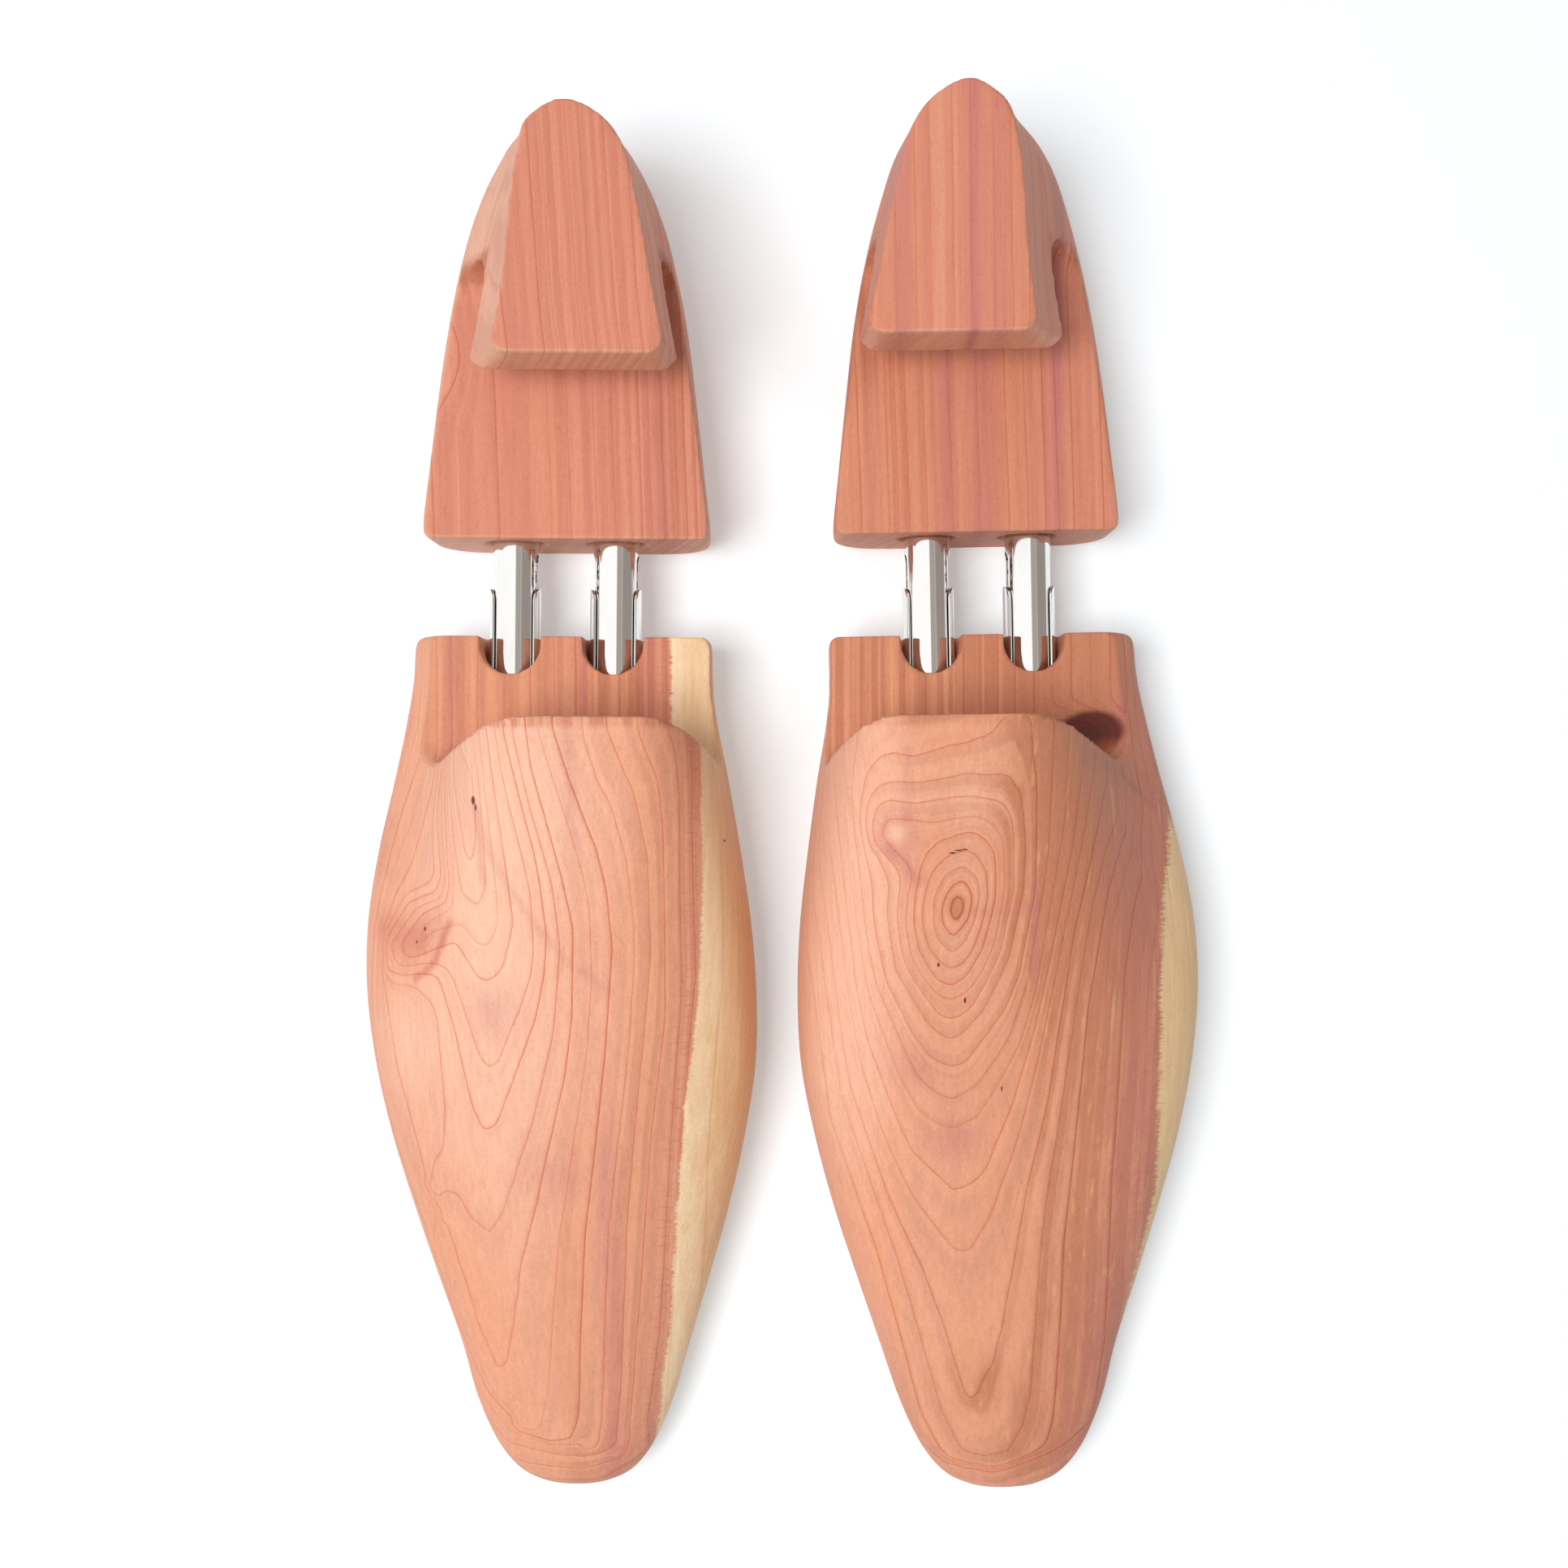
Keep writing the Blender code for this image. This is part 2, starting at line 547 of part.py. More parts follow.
def make_sleeve(tree, label, x, steel):
    """Sleeve: a sheet with rounded corners, rolled into an open-topped C round the tube."""
    name = f"{tree['name']}_{label}_sleeve"
    step_angle = 2 * math.pi / ROUND_STEPS
    lip = SLEEVE_LIP_ANGLE
    columns = round((math.pi + 2 * lip) / step_angle)
    bm = bmesh.new()
    grid = []
    for column in range(columns + 1):
        angle = math.pi - lip + (math.pi + 2 * lip) * column / columns
        from_lip = min(column, columns - column) * step_angle * SLEEVE_INNER_RADIUS
        inside = max(0.0, SLEEVE_CORNER - from_lip)
        corner = SLEEVE_CORNER - math.sqrt(SLEEVE_CORNER ** 2 - inside ** 2)
        line = []
        for row in range(SLEEVE_ROWS + 1):
            y = -SLEEVE_DEPTH + (SLEEVE_REACH - corner + SLEEVE_DEPTH) * row / SLEEVE_ROWS
            across, up = SLEEVE_INNER_RADIUS * math.cos(angle), SLEEVE_INNER_RADIUS * math.sin(angle)
            line.append(bm.verts.new((x + across, y, TUBE_HEIGHT + up)))
        grid.append(line)
    for left, right in zip(grid, grid[1:]):
        for row in range(SLEEVE_ROWS):
            bm.faces.new((left[row], left[row + 1], right[row + 1], right[row]))
    mesh = bpy.data.meshes.new(name)
    bm.normal_update()
    if bm.faces[:][columns // 2 * SLEEVE_ROWS].normal.z > 0:
        bmesh.ops.reverse_faces(bm, faces=bm.faces[:])
    bm.to_mesh(mesh)
    bm.free()
    piece = place(name, mesh, tree["pivot"], steel)
    rolled = piece.modifiers.new("sheet", "SOLIDIFY")
    rolled.thickness = SLEEVE_WALL
    rolled.offset = 1.0
    rolled.use_even_offset = True
    reach = SLEEVE_RADIUS + RUNNING_GAP
    hole = cylinder_mesh(
        name + "_pin_hole", PIN_HOLE_RADIUS, (x - reach, PIVOT.y, PIVOT.z), (x + reach, PIVOT.y, PIVOT.z),
        PIN_STEPS,
    )
    cut(piece, place_cutter(name + "_pin_hole", hole, tree["pivot"]))
    shade_round(piece)


def spring_points(x, start, end):
    """Centre line of a spring: a helix with its ends straight for one wire diameter."""
    lead = 2 * SPRING_WIRE_RADIUS
    steps = SPRING_CURLS * POINTS_PER_CURL + POINTS_PER_CURL // 4
    points = [Vector((x + SPRING_RADIUS, start, TUBE_HEIGHT))]
    for step in range(steps + 1):
        angle = 2 * math.pi * step / POINTS_PER_CURL
        across, up = SPRING_RADIUS * math.cos(angle), -SPRING_RADIUS * math.sin(angle)
        y = start + lead + (end - start - 2 * lead) * step / steps
        points.append(Vector((x + across, y, TUBE_HEIGHT + up)))
    last = points[-1]
    points.append(Vector((last.x, end, last.z)))
    return points


def least_gap(points):
    """Least gap between stretches of the wire that are at least half a curl apart."""
    apart = POINTS_PER_CURL // 2
    nearest = min(
        (points[i] - points[j]).length for i in range(len(points)) for j in range(i + apart, len(points))
    )
    return nearest - 2 * SPRING_WIRE_RADIUS


def make_spring(tree, values, label, x, steel):
    """Spring: round wire, between the pivot pin and the brad inside the tube."""
    name = f"{tree['name']}_{label}_spring"
    start = PIVOT.y + PIN_RADIUS + FIT_GAP
    end = values["heel_gap"] + BRAD_INSET - BRAD_RADIUS - FIT_GAP
    points = spring_points(x, start, end)
    curve = bpy.data.curves.new(name, "CURVE")
    curve.dimensions = "3D"
    curve.bevel_depth = SPRING_WIRE_RADIUS
    curve.bevel_resolution = 1
    curve.use_fill_caps = True
    spline = curve.splines.new("POLY")
    spline.points.add(len(points) - 1)
    for point, place_of in zip(spline.points, points):
        point.co = (*place_of, 1.0)
    place(name, curve, tree["pivot"], steel)
    print(f"{name}: least gap to itself {least_gap(points) * 1000:.2f} mm")


def make_pivot_pin(tree, values, steel):
    """Pivot pin: a plain rod across the forepart."""
    name = tree["name"] + "_pivot_pin"
    side = values["side"]
    rod = cylinder_mesh(
        name, PIN_RADIUS, (-side * PIN_MEDIAL_REACH, PIVOT.y, PIVOT.z),
        (side * PIN_LATERAL_REACH, PIVOT.y, PIVOT.z), PIN_STEPS,
    )
    shade_round(place(name, rod, tree["frame"], steel))


def make_brad(tree, values, label, x, steel):
    """Brad: head, shank and point turned as one profile, driven up through the tube's lower wall."""
    name = f"{tree['name']}_{label}_brad"
    top = TUBE_HEIGHT + BRAD_PAST_AXIS
    head_top = BRAD_SINK + BRAD_HEAD_HEIGHT
    profile = (
        (0.0, top),
        (BRAD_RADIUS / 2, top - BRAD_RADIUS / 2),
        (BRAD_RADIUS, top - 2 * BRAD_RADIUS),
        (BRAD_RADIUS, head_top),
        (BRAD_HEAD_RADIUS, head_top),
        (BRAD_HEAD_RADIUS, BRAD_SINK),
        (0.0, BRAD_SINK),
    )
    bm = bmesh.new()
    verts = [bm.verts.new((radius, 0.0, z)) for radius, z in profile]
    for a, b in zip(verts, verts[1:]):
        bm.edges.new((a, b))
    mesh = bpy.data.meshes.new(name)
    bm.to_mesh(mesh)
    bm.free()
    piece = place(name, mesh, tree["pivot"], steel)
    piece.location = piece.location + Vector((x, values["heel_gap"] + BRAD_INSET, 0.0))
    turned = piece.modifiers.new("turned", "SCREW")
    turned.axis = "Z"
    turned.steps = PIN_STEPS
    turned.render_steps = PIN_STEPS
    turned.use_merge_vertices = True
    turned.merge_threshold = 0.00001
    shade_round(piece)


def outer_reach(values):
    """How far a tree reaches outwards from the middle between the two frames."""
    turn = Matrix.Rotation(values["side"] * PAIR_YAW, 3, "Z")
    points = [turn @ Vector(point) for ring in forepart_rings(values) for point in ring]
    return PAIR_SPACING / 2 + max(values["side"] * point.x for point in points)


def make_tree(name, values, materials):
    """One tree, on a frame empty for the forepart and a pivot empty for all that tilts."""
    side = values["side"]
    frame = bpy.data.objects.new(name + "_frame", None)
    part_collection.objects.link(frame)
    middle = (outer_reach(SIDES["left"]) - outer_reach(SIDES["right"])) / 2
    frame.location = (side * PAIR_SPACING / 2 - middle, PAIR_SHIFT, 0.0)
    frame.rotation_euler = (0.0, 0.0, side * PAIR_YAW)
    pivot = bpy.data.objects.new(name + "_pivot", None)
    part_collection.objects.link(pivot)
    pivot.parent = frame
    pivot.location = PIVOT
    tree = {
        "name": name,
        "frame": {"empty": frame, "offset": Vector((0.0, 0.0, 0.0))},
        "pivot": {"empty": pivot, "offset": PIVOT},
        "tubes": {"medial": -side * TUBE_SPACING / 2, "lateral": side * TUBE_SPACING / 2},
    }
    make_forepart(tree, values, materials["forepart"])
    make_heel_block(tree, values, materials["heel"])
    for label, x in tree["tubes"].items():
        make_tube(tree, values, label, x, materials["tube"])
        make_sleeve(tree, label, x, materials["sleeve"])
        make_spring(tree, values, label, x, materials["spring"])
        make_brad(tree, values, label, x, materials["brad"])
    make_pivot_pin(tree, values, materials["pin"])


for old in list(bpy.data.objects):
    bpy.data.objects.remove(old, do_unlink=True)

part_collection = bpy.data.collections.new("cedar_shoe_tree")
cutter_collection = bpy.data.collections.new("cutters")
bpy.context.scene.collection.children.link(part_collection)
bpy.context.scene.collection.children.link(cutter_collection)

finishes = {
    "forepart": make_material("forepart_cedar", (0.72, 0.34, 0.22), 0.60, 0.0),
    "heel": make_material("heel_cedar", (0.68, 0.29, 0.18), 0.60, 0.0),
    "tube": make_material("tube_chrome", (0.80, 0.79, 0.77), 0.08, 1.0),
    "sleeve": make_material("sleeve_chrome", (0.76, 0.75, 0.73), 0.12, 1.0),
    "spring": make_material("spring_steel", (0.45, 0.45, 0.46), 0.30, 1.0),
    "brad": make_material("brad_steel", (0.50, 0.49, 0.47), 0.35, 1.0),
    "pin": make_material("pin_steel", (0.55, 0.54, 0.52), 0.30, 1.0),
}
for tree_name, tree_values in SIDES.items():
    make_tree(tree_name, tree_values, finishes)
bpy.context.view_layer.update()
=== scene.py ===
"""A pair of cedar shoe trees on a pale floor, seen from above."""

import json
import math

import bmesh
import bpy
import numpy as np
from mathutils import Matrix, Vector

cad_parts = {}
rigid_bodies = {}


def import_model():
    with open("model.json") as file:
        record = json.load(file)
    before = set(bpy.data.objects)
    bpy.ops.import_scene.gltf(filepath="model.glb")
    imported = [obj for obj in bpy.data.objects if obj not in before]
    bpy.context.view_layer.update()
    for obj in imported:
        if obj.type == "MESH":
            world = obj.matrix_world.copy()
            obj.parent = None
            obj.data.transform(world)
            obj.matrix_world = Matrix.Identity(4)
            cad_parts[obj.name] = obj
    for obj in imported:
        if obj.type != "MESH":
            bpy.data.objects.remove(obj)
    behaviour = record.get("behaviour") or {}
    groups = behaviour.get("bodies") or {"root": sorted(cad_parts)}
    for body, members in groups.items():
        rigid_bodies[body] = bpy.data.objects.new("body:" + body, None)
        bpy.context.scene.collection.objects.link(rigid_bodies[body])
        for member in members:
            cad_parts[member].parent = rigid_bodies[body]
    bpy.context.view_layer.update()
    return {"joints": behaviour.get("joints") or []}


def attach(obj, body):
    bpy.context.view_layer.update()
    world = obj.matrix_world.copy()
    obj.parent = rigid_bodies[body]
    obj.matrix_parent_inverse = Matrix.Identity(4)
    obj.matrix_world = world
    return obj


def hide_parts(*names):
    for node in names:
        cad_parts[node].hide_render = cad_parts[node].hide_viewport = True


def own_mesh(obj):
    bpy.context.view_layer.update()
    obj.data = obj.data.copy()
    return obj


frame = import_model()
scene = bpy.context.scene

# Foreparts: one block of red cedar each, shaped like a last on a copying lathe and then belt-sanded. A lip
# overhangs a flat tongue at the rear, and the tongue has two bores for the tubes, each broken open on top by a
# notch so that the tubes can tilt. The grain runs from toe to tongue.
PIVOT_SETBACK = 0.0130
TUBE_HEIGHT = 0.0165
TUBE_SPACING = 0.0214
INSTEP_HEIGHT = 0.0585
FOREPART_PLANK_TOP = 0.0570
TONGUE_TOP = 0.0245
LIP_SETBACK = 0.0170
COVE_SETBACK = 0.0265
COVE_RADIUS = 0.0055
COVE_LEAN = (COVE_SETBACK - LIP_SETBACK) / (FOREPART_PLANK_TOP - TONGUE_TOP - COVE_RADIUS)
SOLE_OVERDEPTH = 0.0015
CUT_OVERRUN = 0.004
BORE_RADIUS = 0.00625
BORE_DEPTH = 0.0540
NOTCH_DEPTH = 0.0078
PIN_HOLE_RADIUS = 0.0019
PIN_HOLE_REACH = 0.0243
TILT_RANGE = math.radians(6.0)
FOREPART_SIZES = {
    "right": {"toe_swing": math.radians(-0.9), "length": 0.1813, "ball_half_width": 0.0416},
    "left": {"toe_swing": math.radians(0.9), "length": 0.1826, "ball_half_width": 0.0428},
}
FOREPART_SHARES = (
    # along, medial, lateral, crest place, side height, crest height, sole height, roundness, power
    (0.000, 0.725, 0.725, -0.214, 0.282, 1.030, 0.077, 0.32, 4.2),
    (0.009, 0.748, 0.762, -0.214, 0.282, 1.026, 0.072, 0.32, 4.2),
    (0.050, 0.752, 0.776, -0.214, 0.280, 1.016, 0.060, 0.32, 4.2),
    (0.099, 0.774, 0.814, -0.212, 0.278, 0.992, 0.046, 0.32, 4.1),
    (0.165, 0.829, 0.876, -0.205, 0.278, 0.912, 0.024, 0.38, 3.9),
    (0.248, 0.888, 0.960, -0.190, 0.280, 0.826, 0.004, 0.50, 3.5),
    (0.331, 0.938, 1.017, -0.171, 0.284, 0.757, 0.000, 0.65, 3.2),
    (0.413, 0.962, 1.024, -0.148, 0.284, 0.697, 0.000, 0.80, 3.0),
    (0.496, 0.955, 0.983, -0.119, 0.278, 0.643, 0.000, 0.92, 2.8),
    (0.579, 0.898, 0.907, -0.090, 0.265, 0.586, 0.000, 1.00, 2.7),
    (0.661, 0.817, 0.805, -0.062, 0.250, 0.524, 0.004, 1.00, 2.6),
    (0.744, 0.714, 0.690, -0.043, 0.236, 0.470, 0.016, 1.00, 2.5),
    (0.826, 0.607, 0.572, -0.031, 0.222, 0.414, 0.034, 1.00, 2.4),
    (0.893, 0.519, 0.495, -0.024, 0.212, 0.370, 0.052, 1.00, 2.4),
    (0.948, 0.415, 0.392, -0.018, 0.204, 0.324, 0.072, 1.00, 2.3),
    (0.981, 0.300, 0.275, -0.016, 0.198, 0.284, 0.098, 1.00, 2.2),
    (0.996, 0.165, 0.140, -0.016, 0.194, 0.240, 0.140, 1.00, 2.1),
)
TOE_TIP_SHARES = (-0.016, 0.190)
CONE_POWERS = (4.5, 4.4)
FLANK_POWER = 2.5
SOLE_POWER = 2.6
STATIONS_PER_ROW = 8
CROWN_POINTS = 72
SOLE_POINTS = 36
FOREPART_VOXEL = 0.00072
SANDING_ROUNDS = 3
HAND_SANDING_ROUNDS = 26
LEAST_WORN = 0.02

# Each tree's own frame, from the hinge that its pivot pin makes: x runs along the pin, y towards the heel.
trees = {}
for joint in frame["joints"]:
    if joint["type"] == "hinge":
        pin_way = Vector(joint["axis"]).normalized()
        turn = Matrix((pin_way, Vector((0, 0, 1)).cross(pin_way), (0, 0, 1))).transposed()
        corner = Vector(joint["pos_m"]) - turn @ Vector((0, -PIVOT_SETBACK, TUBE_HEIGHT))
        side = joint["name"].split("_")[0]
        trees[side] = {
            "place": Matrix.Translation(corner) @ turn.to_4x4(),
            "out": 1 if side == "left" else -1,
            "sleeves": side + "_sleeves",
            "heel": side + "_heel",
        }
for tree in trees.values():
    tree["tubes"] = {"medial": -tree["out"] * TUBE_SPACING / 2, "lateral": tree["out"] * TUBE_SPACING / 2}


def through_rows(rows, place):
    """A smooth curve through rows of numbers, read at a place counted in rows."""
    last = len(rows) - 1
    index = min(int(place), last - 1)
    t = place - index
    before, start, end, after = (np.array(rows[min(max(index + step, 0), last)]) for step in (-1, 0, 1, 2))
    bend = (2 * before - 5 * start + 4 * end - after) * t ** 2 + (3 * start - before - 3 * end + after) * t ** 3
    return start + ((end - before) * t + bend) / 2


def forepart_ring(row, sizes, out):
    """One cross-section of the last shape, from the medial side over the crest and back under the sole."""
    along, medial, lateral, crest_place, side, crest, sole, round_share, power = row
    half_width = sizes["ball_half_width"]
    low_x, high_x, crest_x = -medial * half_width, lateral * half_width, crest_place * half_width
    side_z, crest_z, sole_z = side * INSTEP_HEIGHT, crest * INSTEP_HEIGHT, max(0.0, sole * INSTEP_HEIGHT)
    across = np.sin(np.pi * (np.arange(CROWN_POINTS) / CROWN_POINTS - 0.5))
    u = np.abs(across)
    x = np.where(across < 0, crest_x + (crest_x - low_x) * across, crest_x + (high_x - crest_x) * across)
    medial_share = np.sqrt(np.maximum(0, 1 - u ** power))
    round_part = np.sqrt(np.maximum(0, 1 - u ** FLANK_POWER))
    cone_part = np.maximum(0, 1 - u ** CONE_POWERS[0]) ** CONE_POWERS[1]
    lateral_share = round_share * round_part + (1 - round_share) * cone_part
    share = np.where(across < 0, medial_share, lateral_share)
    crown_z = np.minimum(FOREPART_PLANK_TOP, side_z + (crest_z - side_z) * share)
    back = np.cos(np.pi * np.arange(SOLE_POINTS) / SOLE_POINTS)
    sole_x = (low_x + high_x) / 2 + (high_x - low_x) / 2 * back
    drop = np.maximum(0, 1 - np.abs(back) ** SOLE_POWER) ** (1 / SOLE_POWER)
    sole_z = np.maximum(sole_z, side_z - (side_z - sole_z + SOLE_OVERDEPTH * min(1.0, medial)) * drop)
    y = -along * sizes["length"]
    x = out * (np.concatenate((x, sole_x)) - math.tan(sizes["toe_swing"]) * y)
    return np.column_stack((x, np.full(len(x), y), np.concatenate((crown_z, sole_z))))


def skin_mesh(name, rings, tip=None):
    """A closed skin over rings of points, with a flat start and a flat end or a tip."""
    count = len(rings[0])
    points = [tuple(point) for ring in rings for point in ring]
    last = len(points) - count
    around = [(i, (i + 1) % count) for i in range(count)]
    faces = [tuple(range(count))]
    for low in range(0, last, count):
        faces += [(low + i, low + j, low + count + j, low + count + i) for i, j in around]
    if tip is None:
        faces.append(tuple(range(last, last + count)))
    else:
        points.append(tuple(tip))
        faces += [(last + i, last + j, last + count) for i, j in around]
    return mesh_from(name, points, faces)


def mesh_from(name, points, faces):
    """A mesh whose faces all point out."""
    mesh = bpy.data.meshes.new(name)
    mesh.from_pydata(points, [], faces)
    bm = bmesh.new()
    bm.from_mesh(mesh)
    bmesh.ops.recalc_face_normals(bm, faces=bm.faces[:])
    bm.to_mesh(mesh)
    bm.free()
    return mesh


def prism_mesh(name, outline, start, end, axis):
    """A flat outline drawn out along x or z."""
    rings = [[(at, a, b) if axis == "x" else (a, b, at) for a, b in outline] for at in (start, end)]
    return skin_mesh(name, rings)


def circle(radius, z, steps):
    """Points of a level circle round the z axis."""
    angles = [2 * math.pi * step / steps for step in range(steps)]
    return [Vector((radius * math.cos(a), radius * math.sin(a), z)) for a in angles]


def rod_mesh(name, radius, start, end, steps=64):
    """A solid rod between two points."""
    start, end = Vector(start), Vector(end)
    aim = (end - start).to_track_quat("Z", "Y").to_matrix()
    rings = [[middle + aim @ point for point in circle(radius, 0, steps)] for middle in (start, end)]
    return skin_mesh(name, rings)


def arc(centre, radius, start, end, steps=24):
    """Points of a round stretch, angles in degrees."""
    angles = [math.radians(start + (end - start) * step / steps) for step in range(steps + 1)]
    return [(centre[0] + radius * math.cos(a), centre[1] + radius * math.sin(a)) for a in angles]


def forepart_cutters(sizes, tree):
    """What is cleared out of the block: the cove over the tongue, bores, notches and the pin's hole."""
    reach = sizes["ball_half_width"] + CUT_OVERRUN
    top = FOREPART_PLANK_TOP + CUT_OVERRUN
    corner = arc((-COVE_SETBACK + COVE_RADIUS, TONGUE_TOP + COVE_RADIUS), COVE_RADIUS, 270,
                 180 - math.degrees(math.atan(COVE_LEAN)))
    y, z = corner[-1]
    outline = [(CUT_OVERRUN, TONGUE_TOP), *corner, (y + (top - z) * COVE_LEAN, top), (CUT_OVERRUN, top)]
    cutters = [prism_mesh("cove", outline, -reach, reach, "x")]
    for x in tree["tubes"].values():
        pivot = Vector((x, -PIVOT_SETBACK, TUBE_HEIGHT))
        for turned in (0.0, TILT_RANGE):
            turn = Matrix.Rotation(turned, 3, "X")
            ends = [pivot + turn @ (Vector((x, y, TUBE_HEIGHT)) - pivot) for y in (CUT_OVERRUN, -BORE_DEPTH)]
            cutters.append(rod_mesh("bore", BORE_RADIUS, *ends))
        notch = arc((x, BORE_RADIUS - NOTCH_DEPTH), BORE_RADIUS, 180, 360)
        notch += [(x + BORE_RADIUS, CUT_OVERRUN), (x - BORE_RADIUS, CUT_OVERRUN)]
        cutters.append(prism_mesh("notch", notch, TUBE_HEIGHT, TONGUE_TOP + CUT_OVERRUN, "z"))
    pin_y, out = -PIVOT_SETBACK, tree["out"]
    cutters.append(rod_mesh("pin_hole", PIN_HOLE_RADIUS, (-out * reach, pin_y, TUBE_HEIGHT),
                            (out * PIN_HOLE_REACH, pin_y, TUBE_HEIGHT)))
    return cutters


def add_object(name, data):
    """A new object in the scene."""
    piece = bpy.data.objects.new(name, data)
    scene.collection.objects.link(piece)
    return piece


def modify(piece, kind, **settings):
    """One more modifier on a piece."""
    modifier = piece.modifiers.new(kind, kind)
    for name, value in settings.items():
        setattr(modifier, name, value)


def settle(piece):
    """Makes what a piece's modifiers show its own mesh."""
    bpy.context.view_layer.update()
    mesh = bpy.data.meshes.new_from_object(piece.evaluated_get(bpy.context.evaluated_depsgraph_get()))
    piece.modifiers.clear()
    piece.vertex_groups.clear()
    piece.data = mesh


def carve(name, skin, cutters, place, voxel, worn=None):
    """One block of wood: its skin less the cuts, sanded so that no edge stays sharp, and more where worn."""
    holder = bpy.data.collections.new(name + "_cutters")
    scene.collection.children.link(holder)
    for mesh in cutters:
        holder.objects.link(bpy.data.objects.new(mesh.name, mesh))
    block = add_object(name, skin)
    modify(block, "BOOLEAN", operation="DIFFERENCE", solver="EXACT", operand_type="COLLECTION",
           collection=holder)
    modify(block, "REMESH", mode="VOXEL", voxel_size=voxel)
    modify(block, "SMOOTH", factor=0.5, iterations=SANDING_ROUNDS)
    settle(block)
    for cutter in list(holder.objects):
        bpy.data.objects.remove(cutter)
    bpy.data.collections.remove(holder)
    if worn:
        shares = worn(surface_of(block.data)[0])
        group = block.vertex_groups.new(name="worn")
        for index in np.nonzero(shares > LEAST_WORN)[0]:
            group.add([int(index)], float(shares[index]), "REPLACE")
        modify(block, "SMOOTH", factor=0.5, iterations=HAND_SANDING_ROUNDS, vertex_group="worn")
        settle(block)
    block.data.name = name
    block.data.transform(place)
    block.data.shade_smooth()
    return block


def surface_of(mesh):
    """A mesh's points in millimetres and its normals, as rows of x, y and z."""
    points, normals = np.empty((2, len(mesh.vertices) * 3))
    mesh.vertices.foreach_get("co", points)
    mesh.vertex_normals.foreach_get("vector", normals)
    return points.reshape(-1, 3) * 1000, normals.reshape(-1, 3)


def paint(mesh, marks):
    """What the wood shows at each point of a mesh, one number for each name that a material reads."""
    for name, values in marks.items():
        mesh.attributes.new(name, "FLOAT", "POINT").data.foreach_set("value", np.asarray(values, np.float32))


def dress(piece, material, body, node):
    """Gives a piece its material and the body it moves with, and hides the CAD piece it stands for."""
    piece.data.materials.append(material)
    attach(piece, body)
    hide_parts(node)


def ring_marks(points, normals, rings_at):
    """How many growth rings lie inside each point, and how many millimetres of surface one ring takes there."""
    slope = np.empty_like(points)
    reach, fewest, most = 0.3, 0.04, 4
    for axis, step in enumerate(reach * np.eye(3)):
        slope[:, axis] = (rings_at(points + step) - rings_at(points - step)) / (2 * reach)
    slope -= normals * (slope * normals).sum(axis=1, keepdims=True)
    return {"growth": rings_at(points), "pitch": 1 / np.clip(np.linalg.norm(slope, axis=1), fewest, most)}


def fade(values, start, end):
    """0 up to the start, 1 from the end, and a soft step between."""
    t = np.clip((values - start) / (end - start), 0, 1)
    return t * t * (3 - 2 * t)


def bell(values, middle, width):
    """1 at the middle, and next to nothing at twice the width from it."""
    return np.exp(-((values - middle) / width) ** 2)


def spot(points, x, y, half_x, half_y, lean=0.0):
    """1 at the middle of an oval seen from above, 0 from its rim outwards. Lean is in degrees."""
    c, s = math.cos(math.radians(lean)), math.sin(math.radians(lean))
    dx, dy = points[:, 0] - x, points[:, 1] - y
    reach = np.hypot((c * dx + s * dy) / half_x, (c * dy - s * dx) / half_y)
    return 1 - fade(reach, 0.0, 1.0)


def thread(points, half_width, *path):
    """1 along a path seen from above, 0 from half a width beside it."""
    nearest = np.full(len(points), np.inf)
    for start, end in zip(path, path[1:]):
        way = np.subtract(end, start)
        share = np.clip((points[:, :2] - start) @ way / (way @ way), 0, 1)
        nearest = np.minimum(nearest, np.hypot(*(points[:, :2] - start - share[:, None] * way).T))
    return 1 - fade(nearest, 0.0, half_width)


def eased(values, places, counts, width):
    """A table read at each value, with its corners rounded over a width."""
    reads = [np.interp(values + width * shift, places, counts) for shift in (-1, -0.6, -0.2, 0.2, 0.6, 1)]
    return sum(reads) / len(reads)


def crest_height(points, side):
    """Height in millimetres of the forepart's crest, at each point's place along it."""
    along = [-row[0] * FOREPART_SIZES[side]["length"] * 1000 for row in FOREPART_SHARES]
    crest = [min(FOREPART_PLANK_TOP, row[5] * INSTEP_HEIGHT) * 1000 for row in FOREPART_SHARES]
    start = trees[side]["place"].translation.y * 1000
    return np.interp(points[:, 1] - start, along[::-1], crest[::-1])


def cut_share(points, side):
    """1 on the tongue's top and in the cove, which a cutter left, and 0 on the turned and sanded skin."""
    y = points[:, 1] - trees[side]["place"].translation.y * 1000
    z = points[:, 2]
    radius, floor_z = COVE_RADIUS * 1000, TONGUE_TOP * 1000
    middle = radius - COVE_SETBACK * 1000
    low = np.where(y < middle, radius - np.hypot(y - middle, z - floor_z - radius), z - floor_z)
    wall = y + COVE_SETBACK * 1000 - (z - floor_z - radius) * COVE_LEAN
    return fade(np.where(z < floor_z + radius, low, wall), -0.9, -0.35)


